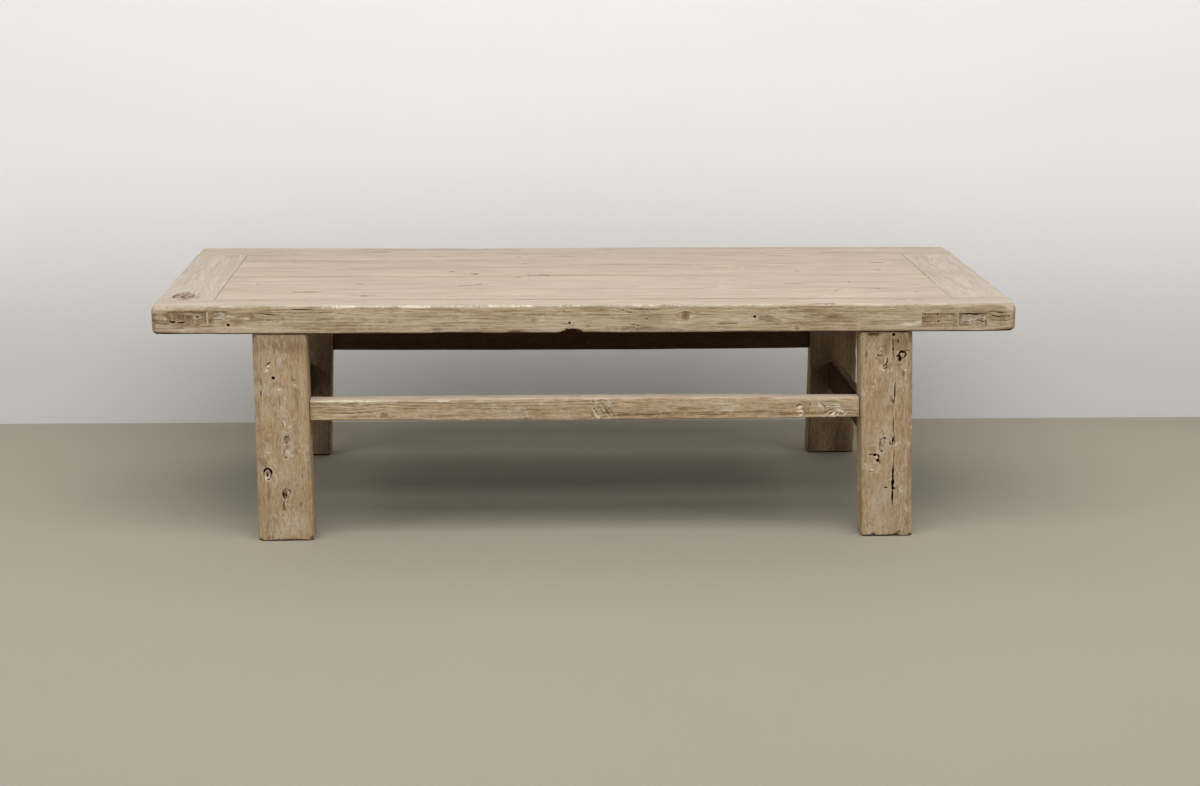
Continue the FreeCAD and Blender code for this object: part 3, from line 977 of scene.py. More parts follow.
class Graph:
    """Small helper that builds the nodes of one material or world."""

    def __init__(self, owner: bpy.types.Material | bpy.types.World) -> None:
        """Empty the node tree of a material or a world.

        Args:
            owner: The material or the world.
        """
        self.owner = owner
        self.owner.use_nodes = True
        self.tree = self.owner.node_tree
        self.tree.nodes.clear()

    def node(self, kind: str, *values: object, **settings: object) -> bpy.types.Node:
        """Add a node with some of its properties set and values in its first inputs.

        Args:
            kind: Type of the node.
            *values: Links or values for its first inputs.
            **settings: Properties to set.

        Returns:
            The node.
        """
        made = self.tree.nodes.new(kind)
        for key, value in settings.items():
            setattr(made, key, value)
        for socket, value in zip(made.inputs, values):
            self.plug(socket, value)
        return made

    def plug(self, socket: Socket, value: object) -> None:
        """Give a socket a link or a plain value.

        Args:
            socket: The input.
            value: A link or a plain value.
        """
        if isinstance(value, Socket):
            self.tree.links.new(value, socket)
        else:
            socket.default_value = value

    def attribute(self, name: str, output: str = "Fac") -> Socket:
        """Read an attribute of the piece."""
        return self.node("ShaderNodeAttribute", attribute_name=name).outputs[output]

    def math(self, operation: str, *values: object, clamp: bool = False) -> Socket:
        """Work out a number from one or two others."""
        return self.node("ShaderNodeMath", *values, operation=operation, use_clamp=clamp).outputs[0]

    def join(self, operation: str, first: object, others: Sequence[object], clamp: bool) -> Socket:
        """Join numbers one after the other, and hold the last result to 0 to 1 if asked."""
        for left, other in zip(range(len(others), 0, -1), others):
            first = self.math(operation, first, other, clamp=clamp and left == 1)
        return first

    def times(self, first: object, *others: object, clamp: bool = False) -> Socket:
        """Multiply numbers."""
        return self.join("MULTIPLY", first, others, clamp)

    def plus(self, first: object, *others: object, clamp: bool = False) -> Socket:
        """Add numbers."""
        return self.join("ADD", first, others, clamp)

    def minus(self, first: object, second: object) -> Socket:
        """Take the second number from the first."""
        return self.math("SUBTRACT", first, second)

    def vector(self, operation: str, *values: object) -> Socket:
        """Work out a vector from others."""
        return self.node("ShaderNodeVectorMath", *values, operation=operation).outputs[0]

    def noise(self, vector: Socket, along: float, across: float, detail: float = 2.0, rough: float = 0.5,
              output: str = "Fac") -> Socket:
        """Read a noise with its own scale along the grain.

        Args:
            vector: Where to read it.
            along: Cells per metre along the grain.
            across: Cells per metre across the grain.
            detail: How many finer layers it has.
            rough: How strong the finer layers are.
            output: Which socket to take.

        Returns:
            The noise.
        """
        made = self.node("ShaderNodeTexNoise")
        self.plug(made.inputs["Vector"], self.vector("MULTIPLY", vector, (along, across, across)))
        for name, number in (("Scale", 1.0), ("Detail", detail), ("Roughness", rough)):
            made.inputs[name].default_value = number
        return made.outputs[output]

    def step(self, value: object, low: float, high: float) -> Socket:
        """Ease from 0 at the low value to 1 at the high one."""
        return self.node("ShaderNodeMapRange", value, low, high, interpolation_type="SMOOTHSTEP").outputs[0]

    def contour(self, noise: Socket, low: float, high: float) -> Socket:
        """Thin lines where a noise passes its mean, 1 below the low distance from it and 0 beyond the high one."""
        return self.minus(1.0, self.step(self.math("ABSOLUTE", self.minus(noise, 0.5)), low, high))

    def mix(self, share: object, first: object, second: object) -> Socket:
        """Mix two colours.

        Args:
            share: Share of the second.
            first: First colour.
            second: Second colour.

        Returns:
            The mixed colour.
        """
        made = self.node("ShaderNodeMix", data_type="RGBA")
        for socket, value in ((made.inputs[0], share), (made.inputs[6], first), (made.inputs[7], second)):
            self.plug(socket, value)
        return made.outputs[2]

    def ramp(self, value: object, stops: Sequence[tuple[float, Colour]]) -> Socket:
        """Turn a number into a colour through some stops.

        Args:
            value: The number.
            stops: Places from 0 to 1 with their colours.

        Returns:
            The colour.
        """
        made = self.node("ShaderNodeValToRGB", value)
        elements = made.color_ramp.elements
        while len(elements) < len(stops):
            elements.new(0.5)
        for element, (place, colour) in zip(elements, stops):
            element.position, element.color = place, colour
        return made.outputs[0]


@dataclass(frozen=True)
class ElmFinish:
    """Finish of one kind of elm surface. Colours are linear, and strengths are shares."""

    name: str
    pale: Colour
    body: Colour
    deep: Colour
    bleached: Colour = srgb(220, 206, 185)
    cream_and_highlight: Colour = srgb(250, 238, 212)
    sanded: Colour = srgb(213, 200, 181)
    scrubbed: Colour = srgb(197, 182, 165)
    streaked: Colour = srgb(182, 166, 148)
    patina: Colour = srgb(115, 88, 63)
    sooted: Colour = srgb(66, 51, 38)
    knotted: Colour = srgb(128, 97, 66)
    burnt_and_shadow: Colour = srgb(30, 23, 18)
    ring_width: float = 0.0042
    ring_share: float = 0.40
    streak_scale: float = 3.5
    streak_share: float = 1.3
    fibre_share: float = 1.1
    patch_share: float = 1.3
    stain_share: float = 0.5
    end_share: float = 0.5
    flake_share: float = 0.5
    hair_share: float = 0.65
    roughness: float = 0.82
    bump: float = 0.6

    def make(self) -> bpy.types.Material:
        """Build the material.

        Returns:
            The material, whose pattern follows the fibre attribute of the piece.
        """
        g = Graph(bpy.data.materials.new(self.name))
        fibre = g.attribute("fibre", "Vector")
        drift = g.noise(fibre, 2.6, 15.0, 3.0, 0.55, "Color")
        sway = g.vector("MULTIPLY", g.vector("SUBTRACT", drift, (0.5, 0.5, 0.5)), (0.0, 0.016, 0.016))
        flow = g.vector("ADD", fibre, sway)
        coarse = g.noise(flow, self.streak_scale, 80.0, 4.0, 0.6)
        fine = g.noise(flow, 4.0 * self.streak_scale, 320.0, 4.0, 0.7)
        patches = g.noise(flow, 2.2 * self.streak_scale, 22.0, 5.0, 0.65)
        value = 0.5
        for part, mean, share in ((coarse, 0.5, self.streak_share), (fine, 0.5, self.fibre_share),
                                  (patches, 0.5, self.patch_share), (self.rings(g, flow), 0.2, self.ring_share)):
            value = g.plus(value, g.times(g.minus(part, mean), share))
        colour = g.ramp(value, ((0.15, self.pale), (0.5, self.body), (0.85, self.deep)))
        top = g.ramp(value, ((0.0, self.sanded), (0.5, self.scrubbed), (1.0, self.streaked)))
        colour = self.aged(g, g.mix(g.attribute("scrub"), colour, top), fibre, flow, value)
        self.shade(g, colour, flow, value, fine)
        return g.owner

    def rings(self, g: Graph, flow: Socket) -> Socket:
        """Lay year rings round the heart of the tree, pale in spring and darker in summer.

        Args:
            g: The nodes to add to.
            flow: Place along the wavy fibres.

        Returns:
            How dark the rings are.
        """
        across = g.vector("MULTIPLY", flow, (0.0, 1.0, 1.0))
        radius = g.node("ShaderNodeVectorMath", across, operation="LENGTH").outputs["Value"]
        warped = g.plus(g.math("DIVIDE", radius, self.ring_width), g.times(g.noise(flow, 4.0, 30.0), 2.4))
        turn = g.math("FRACT", warped)
        strength = g.step(g.noise(flow, 2.0, 60.0, 1.0), 0.3, 0.65)
        return g.times(g.step(turn, 0.25, 0.9), g.minus(1.0, g.step(turn, 0.92, 1.0)), strength)

    def aged(self, g: Graph, colour: Socket, fibre: Socket, flow: Socket, value: Socket) -> Socket:
        """Lay bleaching, cream with painted highlights, knots, old brown skin with painted shade, pores, hair cracks,
        and scars with painted shadows over the wood.

        Args:
            g: The material's nodes.
            colour: The clean wood.
            fibre: Undisturbed place in the timber.
            flow: Place along the wavy fibres.
            value: Lightness of the grain.

        Returns:
            The aged colour.
        """
        unscrubbed = g.minus(1.0, g.times(g.attribute("scrub"), 0.8))

        def veil(mask: Socket, share: float, paint: Colour) -> Socket:
            """Lay a paint over the wood where the mask shows it and nobody scrubbed it off."""
            return g.mix(g.times(mask, share, unscrubbed), colour, paint)

        tone = g.attribute("tone")
        blotch = g.plus(0.4, g.step(g.noise(fibre, 45.0, 130.0, 3.0, 0.65), 0.25, 0.75))
        colour = g.mix(g.times(tone, blotch, clamp=True), colour, self.bleached)
        colour = g.mix(g.times(tone, -1.0, blotch, clamp=True), colour, self.knotted)
        # A tone above 0.95 turns cream: pale flecks, and the painted highlight along the worn front arris.
        colour = g.mix(g.step(tone, 0.95, 1.5), colour, self.cream_and_highlight)
        for scale, across, detail, rough, low, high, share, paint in (
                (2.5, 60.0, 4.0, 0.65, 0.54, 0.68, 0.4, self.bleached),
                (1.2, 45.0, 4.0, 0.6, 0.53, 0.70, self.stain_share, self.knotted),
                (9.0, 420.0, 2.0, 0.6, 0.56, 0.70, 0.45, self.bleached)):
            streaks = g.noise(flow, scale * self.streak_scale, across, detail, rough)
            colour = veil(g.step(streaks, low, high), share, paint)
        torn = g.step(g.noise(fibre, 14.0, 24.0), 0.50, 0.64)
        flake = g.times(g.contour(g.noise(fibre, 55.0, 110.0, 2.0, 0.6), 0.015, 0.06), torn)
        colour = veil(flake, self.flake_share, self.bleached)
        colour = g.mix(g.times(g.attribute("end"), self.end_share), colour, self.knotted)
        knot = g.attribute("knot")
        circles = g.plus(0.50, g.times(g.math("SINE", g.times(knot, 34.0)), 0.34))
        colour = g.mix(g.times(g.step(knot, 0.0, 0.30), circles), colour, self.knotted)
        # Old brown skin, which on the legs also holds painted shade below the top and a painted contact shadow at the
        # foot.
        darkness_of_skin = g.plus(0.62, g.times(g.minus(value, 0.5), 0.7), clamp=True)
        colour = g.mix(g.attribute("soot"), colour, g.mix(darkness_of_skin, self.patina, self.sooted))
        pore = g.step(g.noise(flow, 13.0 * self.streak_scale, 520.0, 3.0, 0.7), 0.56, 0.66)
        colour = veil(pore, 0.42, self.knotted)
        cracked = g.step(g.noise(fibre, 9.0, 28.0), 0.52, 0.66)
        hair = g.times(g.contour(g.noise(flow, 5.0, 150.0), 0.004, 0.018), cracked)
        colour = veil(hair, self.hair_share, self.sooted)
        # Scars, cracks and the painted shadows at the feet and in the chip darken towards black.
        scar = g.attribute("scar")
        singed_and_shadowed = g.ramp(scar, ((0.15, self.knotted), (0.5, self.sooted), (0.9, self.burnt_and_shadow)))
        return g.mix(g.step(scar, 0.03, 0.7), colour, singed_and_shadowed)

    def shade(self, g: Graph, colour: Socket, flow: Socket, value: Socket, fine: Socket) -> None:
        """Give the surface its matt shader and its small relief.

        Args:
            g: The nodes to add to.
            colour: Colour of the surface.
            flow: Place along the wavy fibres.
            value: Lightness of the grain.
            fine: Finest grain.
        """
        height = g.plus(g.times(value, -0.6), g.times(fine, -0.5), g.times(g.noise(flow, 60.0, 380.0, 3.0, 0.6), 0.8))
        bump = g.node("ShaderNodeBump")
        bump.inputs["Strength"].default_value = self.bump
        bump.inputs["Distance"].default_value = 0.0011
        g.plug(bump.inputs["Height"], height)
        shader = g.node("ShaderNodeBsdfPrincipled")
        shader.inputs["Specular IOR Level"].default_value = MATT_SPECULAR
        g.plug(shader.inputs["Base Color"], colour)
        g.plug(shader.inputs["Roughness"], g.plus(self.roughness, g.times(fine, 0.15)))
        g.plug(shader.inputs["Normal"], bump.outputs[0])
        g.node("ShaderNodeOutputMaterial", shader.outputs[0])


TOP_ELM = ElmFinish("scrubbed_top", srgb(218, 201, 173), srgb(201, 180, 149), srgb(166, 141, 106), ring_share=0.25,
                    streak_scale=4.5, streak_share=0.7, patch_share=0.7, fibre_share=1.6)
END_RAIL_ELM = replace(TOP_ELM, name="scrubbed_end_rail", ring_share=0.1, streak_share=0.65, patch_share=0.6,
                       fibre_share=1.8, sanded=srgb(216, 204, 188), scrubbed=srgb(198, 185, 170),
                       streaked=srgb(180, 165, 149))
PANEL_ELM = ElmFinish("scrubbed_panel", srgb(212, 194, 164), srgb(193, 171, 138), srgb(160, 134, 98), bump=0.3,
                      streak_share=1.0, patch_share=0.9, ring_share=0.25)
LEG_ELM = ElmFinish("weathered_leg", srgb(209, 186, 152), srgb(194, 168, 133), srgb(164, 135, 98), ring_share=0.12,
                    streak_scale=13.0, streak_share=0.4, fibre_share=1.4, patch_share=0.5, stain_share=0.12,
                    flake_share=0.6, hair_share=0.25)
RAIL_ELM = ElmFinish("weathered_stretcher", srgb(222, 203, 170), srgb(198, 173, 137), srgb(158, 128, 90),
                     streak_scale=10.0, streak_share=0.45, fibre_share=1.5, patch_share=0.55, stain_share=0.2,
                     flake_share=0.6, hair_share=0.35)
BATTEN_ELM = ElmFinish("dark_batten", srgb(100, 78, 54), srgb(80, 60, 42), srgb(54, 40, 28))
END_ELM = ElmFinish("end_grain", srgb(196, 175, 144), srgb(172, 147, 116), srgb(130, 102, 74), ring_width=0.003,
                    ring_share=0.8, end_share=0.15)
GREY_END_ELM = ElmFinish("grey_end_grain", srgb(194, 176, 149), srgb(153, 133, 107), srgb(104, 85, 64),
                         ring_width=0.0025, ring_share=0.8, patch_share=1.7, fibre_share=1.7, end_share=0.1,
                         flake_share=0.9)
WEDGE_ELM = ElmFinish("pale_wedge", srgb(222, 206, 178), srgb(206, 188, 158), srgb(178, 156, 124), end_share=0.1)


def looks_up(surface: Surface) -> Array:
    """Share of scrubbing of each vertex: full on top and fading round the arris."""
    patchy = 0.5 * surface.rough(24.0)
    patchy += 0.4 * surface.rough(7.0)
    return smooth((surface.normals[:, 2] - 0.5) / 0.2 + patchy)


def looks_down(surface: Surface) -> Array:
    """Share of old skin of each vertex: full on the underside of the top."""
    return 0.97 * smooth((-surface.normals[:, 2] - 0.3) / 0.4)


# Stretches of the front rail's upper arris as start, stop and bite: worn, and painted with a cream highlight.
ARRIS_WEAR_AND_HIGHLIGHT: tuple[Triple, ...] = (
    (-445, -400, 1.2), (-398, -330, 0.5), (-318, -268, 1.6), (-262, -200, 0.4), (-190, -120, 0.8), (-116, -90, 0.4),
    (-84, -40, 0.6), (-30, 20, 0.3), (62, 100, 0.6), (98, 130, 1.0), (150, 180, 0.3), (196, 262, 0.5),
    (-640, -600, 0.3), (290, 330, 0.5), (470, 540, 0.4), (600, 630, 0.3), (-520, -490, 0.3),
)

# The low-arris dent at -27 373 with its dark scar is painted shadow inside the chip.
FRONT_RAIL_MARKS = """
FRONT hole -32 388 / 1.7; -37 377 / 1.5; -619 387 / 2.3; 87 383 / 1 3; 102 395 / 1.1 3; 290 398 / 2;
dent -32 381 9 9 / 0 .8 -.35; crack -542 414 -526 415 -500 413 -474 415 -456 414 / 1.3 2 .7;
-575 409 -560 406 -545 404 -528 404 / 1.3 1.4 .6; -570 404 -552 401 -534 402 / 1.1 1 .4; dent -550 406 30 5 / -4 .3 -.3;
crack 50 414 60 411 72 407 86 405 / 1.2 1.2 .6; 74 412 90 411 104 412 126 411 / 1.2 1 .45;
knot 170 400 8 8 / 0 .5 .8 .5; dent 171 400 14 10 / 0 .4 -.55 0 .8; stroke 283 402 281 392 286 384 / 2.4 1.4;
152 392 160 387 168 389 / 2.2 1.3; 176 401 181 396 / 2.2 1.3; crack 163 404 168 398 174 394 / 1.8 1.2 .6;
dent 315 392 26 8 / -8 .8 -.95; crack 288 402 298 401 306 399 / 1 .8 .4;
332 404 346 409 364 409 382 404 400 398 412 396 / 1.2 .5 .35; 340 405 356 406 374 402 / 1 .4 .2;
dent 400 404 26 6 / -12 .3 -.5; 360 406 18 3 / 0 .3 -.4; -746 394 7 26 / 0 .2 -.55; 747 392 6 24 / 0 .2 -.5;
368 399 26 7 / -6 .5 .25; 430 399 24 5 / -4 .3 -.5; 558 385 18 4 / -3 .4 1.25; 577 388 9 4.5 / 4 .4 1.2;
TOP crack 384 -307 400 -305 418 -305 438 -307 / 4.5 2.4 .8; FRONT dent -261 375 9 5 / 0 1.6 -.7;
-200 374 24 3.5 / 0 1.4 .4; -126 373 17 3 / 0 1.6 -.6; -90 374 18 3 / 0 1 .3;
crack -700 398 -664 397 -640 395 / .9 .8 .4; -330 411 -308 409 -292 409 / 1.2 .9 .45;
-150 406 -112 404 -60 402 -20 399 / 1 .5 .3; -10 397 60 396 150 398 240 394 / .9 .3 .15; dent -50 409 4 2 / 0 .5 -.6;
-42 409 3 2 / 0 .5 -.7; -46 408 5 2 / 0 .3 .6; -694 400 54 13 / 0 .3 -.85 0 .6; -594 395 36 13 / 0 .4 -.6 0 .7;
stroke -606 397 -594 400 -580 396 / 1.8 1.1; -600 390 -588 392 -576 388 / 1.8 1; dent -716 408 34 7 / 0 .3 -.5 0 .7;
-648 398 10 13 / 0 .2 -.6; -737 391 9 5 / 0 .2 -.6; -690 379 40 5 / 0 .2 .35;
crack -742 391 -730 389 -712 390 / 1.2 .9 .5; dent -668 409 60 5 / 0 .2 -.4; -724 399 14 3 / 0 .2 .6;
655 408 56 5 / -3 .2 -.5; 718 394 30 11 / -8 .3 -.6 0 .7; crack 702 408 716 405 734 404 / 1.2 .9 .6;
700 402 714 397 728 398 744 399 / 1.3 1 .65; 702 392 718 390 742 391 / 1.2 .9 .55; 706 385 722 383 738 384 / 1 .7 .45;
dent 642 386 8 9 / 0 .2 -.5; -590 398 9 3 / 10 .6 .9; -612 402 7 2.5 / -5 .5 .8; -585 385 22 4 / -4 .5 .6;
-640 388 8 3 / 0 .5 .6; 480 405 50 6 / 0 .2 -.25; 650 376 80 4 / 0 .2 .25; -560 380 110 5 / 0 .2 .35;
-655 377 70 4 / 0 .2 .3; 640 395 24 7 / 0 .3 -.3; 420 392 70 8 / 0 .2 -.2; LOW_ARRIS -700 372 40 6 / 0 .3 -.7;
300 372 300 5 / 0 .2 -.5; -27 373 15 5 / 0 .3 0 .9 .2 .5; -230 370 60 3 / 0 .6 0 .8 .6
"""

BACK_RAIL_MARKS = """
TOP crack 128 225 145 224 163 226 / 1.8 1.6 .7; 200 236 216 234 238 236 / 1.7 1.6 .7; dent 515 237 34 6 / 0 .3 -.5;
-130 240 40 8 / 0 .2 -.3; crack -410 252 -390 256 -370 262 / 1.4 1.2 .5; -445 217 -425 219 -400 218 / 1.3 1 .5;
dent -390 258 34 10 / 12 .3 -.35; -300 285 200 8 / 0 .3 -.3; 380 290 220 9 / 0 .2 -.25; -560 232 60 5 / 0 .2 -.3
"""

LEFT_END_RAIL_MARKS = """
TOP knot -704 -212 24 36 / 0 .42 .9 .55 1.3; -700 -214 13 19 / 0 .55 .9 .55 .3;
crack -714 -226 -704 -222 -697 -212 -690 -208 / 3.7 1.8 .85; -722 -238 -724 -222 -722 -202 -712 -186 / 2.5 1.4 .6;
-708 -244 -700 -238 -690 -236 / 2.4 1.4 .65; -712 -214 -706 -204 -698 -202 / 2.2 1.2 .6;
-684 -240 -680 -222 -684 -204 / 2.2 1.1 .5; -716 -176 -700 -170 -684 -178 / 2.2 .9 .4;
-726 -250 -706 -256 -686 -250 / 2 .9 .35; dent -704 -216 34 48 / 0 .3 -.35; -676 205 18 12 / 0 .3 -.25;
crack -700 214 -672 217 -655 212 / 2 1 .4
"""

RIGHT_END_RAIL_MARKS = """
TOP knot 702 60 14 80 / 0 0 0 0 1.6; crack 672 170 676 120 684 60 690 10 / 2.2 .5 .3; 715 190 720 120 714 40 / 2 .5 .25
"""

TENON_MARKS = {
    "left": """
FRONT crack 3 6 8 3 14 4 / 1.8 2 .8; 16 3 24 2 30 4 / 1.6 2 .7; -20h -9h -12h -10h / 1.8 1.6 .7;
dent 22 12 20 5 / 0 .3 -.6; 36 -4h 20 2.5 / 0 .2 .5
""",
    "right": """
FRONT crack 2 -3h 14 -1h 30 -3h 44 -1h / 1.6 2 .8; 22 6 34 10 -4h 5 / 1.4 1.4 .5; 4 4 12 7 20 4 / 1.2 1.2 .45;
dent 12 11 9 6 / 0 .6 .8; 30 13 10 4 / 0 .5 .6; 40 6 8 4 / 20 .5 -.5
""",
}

RIGHT_PATCH_MARKS = """
FRONT hole 5 -2.5h / 1.3; 27 -2.6h / 1.4; 29 6 / 1.5; -12h -3h / 1.1; dent 10 9 12 7 / 0 .3 -.6
"""


@dataclass
class TopFrame:
    """The four rails round the top, with the through tenons, wedges and patches that show on their faces."""

    front: Box = field(default_factory=lambda: node_box("front_rail"))
    back: Box = field(default_factory=lambda: node_box("back_rail"))
    left_corner_round: float = 8.0
    right_corner_round: float = 12.0
    front_round: float = 4.0
    top_round: float = 6.0
    under_round: float = 4.5
    hollow_left_inset: float = 80.0
    hollow_right_inset: float = 420.0
    hollow_depth: float = 8.0
    chip_place: float = -23.0
    chip_width: float = 30.0
    chip_slope: float = 1.8
    chip_height: float = 6.5
    chip_depth: float = 15.0
    pocket_depth: float = 5.0
    pocket_gap: float = 0.1

    def build(self) -> None:
        """Make every piece of the frame."""
        self.front_rail().build()
        self.back_rail().build()
        for side in (-1, 1):
            self.end_rail(side).build()
        for plug in self.plugs():
            plug.build()

    def tenon_spaces(self, face: int) -> list[Box]:
        """Spaces of the tenon ends that show on the front or the back face, with their wedges.

        Args:
            face: 1 at the back and -1 at the front.

        Returns:
            The spaces, left and right.
        """
        spaces = []
        for node in ("left_end_rail", "right_end_rail"):
            tenon = end_section(node, 1, face)
            wedges = cad_points("end_rail_wedges")
            side = math.copysign(1, tenon.centre[0])
            own = wedges[(wedges[:, 0] * side > 0) & (wedges[:, 1] * face > 0)]
            shown = own[own[:, 1] * face > (own[:, 1] * face).max() - 1.5 * MM]
            spaces.append(box_of(np.vstack([tenon.low, tenon.high, shown])))
        return spaces

    def patch_spaces(self) -> list[Box]:
        """Spaces of the two patches in the front face."""
        points = cad_points("rail_patches")
        return [box_of(points[points[:, 0] * side > 0]) for side in (-1, 1)]

    def pocket(self, face: Face, space: Box) -> Pocket:
        """Recess for a tenon end or a patch, a hair larger than what sits in it."""
        axes = list(face.axes)
        low, high = space.low[axes] / MM - self.pocket_gap, space.high[axes] / MM + self.pocket_gap
        return Pocket(face, tuple(low), tuple(high), self.pocket_depth)

    def front_rail(self) -> Timber:
        """Front rail: chipped below with a painted shadow in the chip, cracked along its upper arris, worn pale and
        painted with a cream highlight over the stretches that hands rub.
        """
        pockets = [self.pocket(Face.FRONT, space) for space in self.tenon_spaces(-1) + self.patch_spaces()]
        marks = marks_of(FRONT_RAIL_MARKS)
        # Each stretch is worn in by its bite and given a tone high enough to paint a cream highlight along the arris.
        for start, stop, bite in ARRIS_WEAR_AND_HIGHLIGHT:
            middle, reach = (start + stop) / 2, (stop - start) / 2
            marks.append(Dent(Face.TOP_ARRIS, (middle, -310), (reach * 1.2, 5.0), 0, bite, 0.75 + 0.65 * bite, 0.0,
                              0.9, 1.5))
        strewn = scatter(11, Face.FRONT, (-740, 376), (740, 414), 0, holes=4, cracks=8, knots=1, dents=24)
        strewn += scatter(12, Face.UNDER, (-700, -300), (700, -265), 0, cracks=6, dents=6)
        strewn += scatter(13, Face.TOP, (-730, -300), (730, -262), 0, cracks=5, dents=6)
        return Timber("front_rail_timber", ("front_rail",), "top_elm", "scrubbed_top", self.front, 0, 101,
                      steps=(2.6, 2.4, 1.7), triangles=195000,
                      corner_rounds={(-1, -1): self.left_corner_round, (1, -1): self.right_corner_round},
                      rims={1: self.front_round, -1: self.under_round}, corner_wear={-1: 2.0, 1: 3.4},
                      open_sides=((0, -1), (0, 1), (1, -1)), wave=0.9, heart=(0, 30, -70), marks=marks + pockets,
                      strewn=strewn, shape=self.chipped, old_skin_and_shade=looks_down, scrubbed=looks_up)

    def chipped(self, points: Array) -> Array:
        """Raise the lower front arris over a half-moon chip that runs out inside the rail.

        Args:
            points: Places on the straight block, in metres.

        Returns:
            The moved places.
        """
        half, height = self.chip_width / 2 * MM, self.chip_height * MM
        radius = (half ** 2 + height ** 2) / (2 * height)
        along = points[:, 0] - self.chip_place * MM
        along = np.where(along < 0, along / self.chip_slope, along)
        arch = np.sqrt(np.clip(radius ** 2 - along ** 2, 0, None)) - (radius - height)
        inward = np.clip(1 - (points[:, 1] - self.front.low[1]) / (self.chip_depth * MM), 0, 1)
        lift = np.clip(arch, 0, None) * inward
        reach = 16 * MM
        fade = np.clip(1 - (points[:, 2] - self.front.low[2]) / reach, 0, 1)
        moved = points.copy()
        moved[:, 2] += lift * fade
        return moved

    def hollowed(self, points: Array) -> Array:
        """Draw the back edge in along its worn hollow.

        Args:
            points: Places on the straight block, in metres.

        Returns:
            The moved places.
        """
        left = self.back.low[0] + self.hollow_left_inset * MM
        right = self.back.high[0] - self.hollow_right_inset * MM
        share = np.clip((points[:, 0] - left) / (right - left), 0, 1)
        drop = self.hollow_depth * MM * 0.5 * (1 - np.cos(2 * np.pi * share))
        outer = np.clip((points[:, 1] - self.back.low[1]) / self.back.size[1], 0, 1)
        moved = points.copy()
        moved[:, 1] -= drop * outer
        return moved

    def back_rail(self) -> Timber:
        """Back rail: hollowed along its edge, with short drying cracks on top."""
        pockets = [self.pocket(Face.BACK, space) for space in self.tenon_spaces(1)]
        strewn = scatter(21, Face.BACK, (-740, 376), (740, 414), 0, holes=6, cracks=12, knots=4, dents=12)
        strewn += scatter(22, Face.TOP, (-730, 225), (730, 296), 0, cracks=6, knots=1, dents=6)
        strewn += scatter(23, Face.UNDER, (-700, 225), (700, 296), 0, cracks=8, dents=6)
        return Timber("back_rail_timber", ("back_rail",), "top_elm", "scrubbed_top", self.back, 0, 102,
                      steps=(3.2, 2.6, 2.4), triangles=130000,
                      corner_rounds={(-1, 1): self.left_corner_round, (1, 1): self.right_corner_round},
                      rims={1: self.top_round, -1: self.under_round}, corner_wear={-1: 0.2, 1: 0.8},
                      open_sides=((0, -1), (0, 1), (1, 1)), wave=0.8, heart=(0, -25, -60),
                      marks=marks_of(BACK_RAIL_MARKS) + pockets, strewn=strewn, shape=self.hollowed,
                      old_skin_and_shade=looks_down, scrubbed=looks_up)

    def end_rail(self, side: int) -> Timber:
        """Left or right end rail between the long rails.

        Args:
            side: 1 at the right end and -1 at the left.

        Returns:
            The rail.
        """
        node = "left_end_rail" if side < 0 else "right_end_rail"
        whole = node_box(node)
        panel = node_box("panel_board_1")
        if side < 0:
            span, out, known = (whole.low[0], panel.low[0] + TONGUE), Face.LEFT, LEFT_END_RAIL_MARKS
        else:
            span, out, known = (panel.high[0] - TONGUE, whole.high[0]), Face.RIGHT, RIGHT_END_RAIL_MARKS
        box = Box.between(span, (self.front.high[1], self.back.low[1]), (self.front.low[2], self.front.high[2]))
        low, high = box.low / MM, box.high / MM
        strewn = scatter(31 + side, out, (-250, 376), (212, 414), 1, holes=3, cracks=7, knots=2, dents=6)
        strewn += scatter(36 + side, Face.TOP, (low[0] + 12, -245), (high[0] - 12, 205), 1, cracks=3, dents=5)
        return Timber(node + "_timber", (node,), "top_elm", "scrubbed_end_rail", box, 1, 104 + side,
                      steps=(1.9, 2.6, 2.4), rims={1: self.top_round, -1: self.under_round},
                      open_sides=((0, side),), seam_round=0.26 if side < 0 else 0.05, wave=0.7,
                      heart=(10 * side, 0, -90), marks=marks_of(known), strewn=strewn, old_skin_and_shade=looks_down,
                      scrubbed=looks_up)

    def plugs(self) -> list[Timber]:
        """Tenon ends, their wedges and the patches that sit in the recesses of the long rails."""
        plugs = []
        for face, name in ((-1, "front"), (1, "back")):
            for side, space in zip(("left", "right"), self.tenon_spaces(face)):
                plugs += self.tenon_end(name, side, space, face)
        for side, space in zip(("left", "right"), self.patch_spaces()):
            plugs.append(self.patch(side, space))
        return plugs

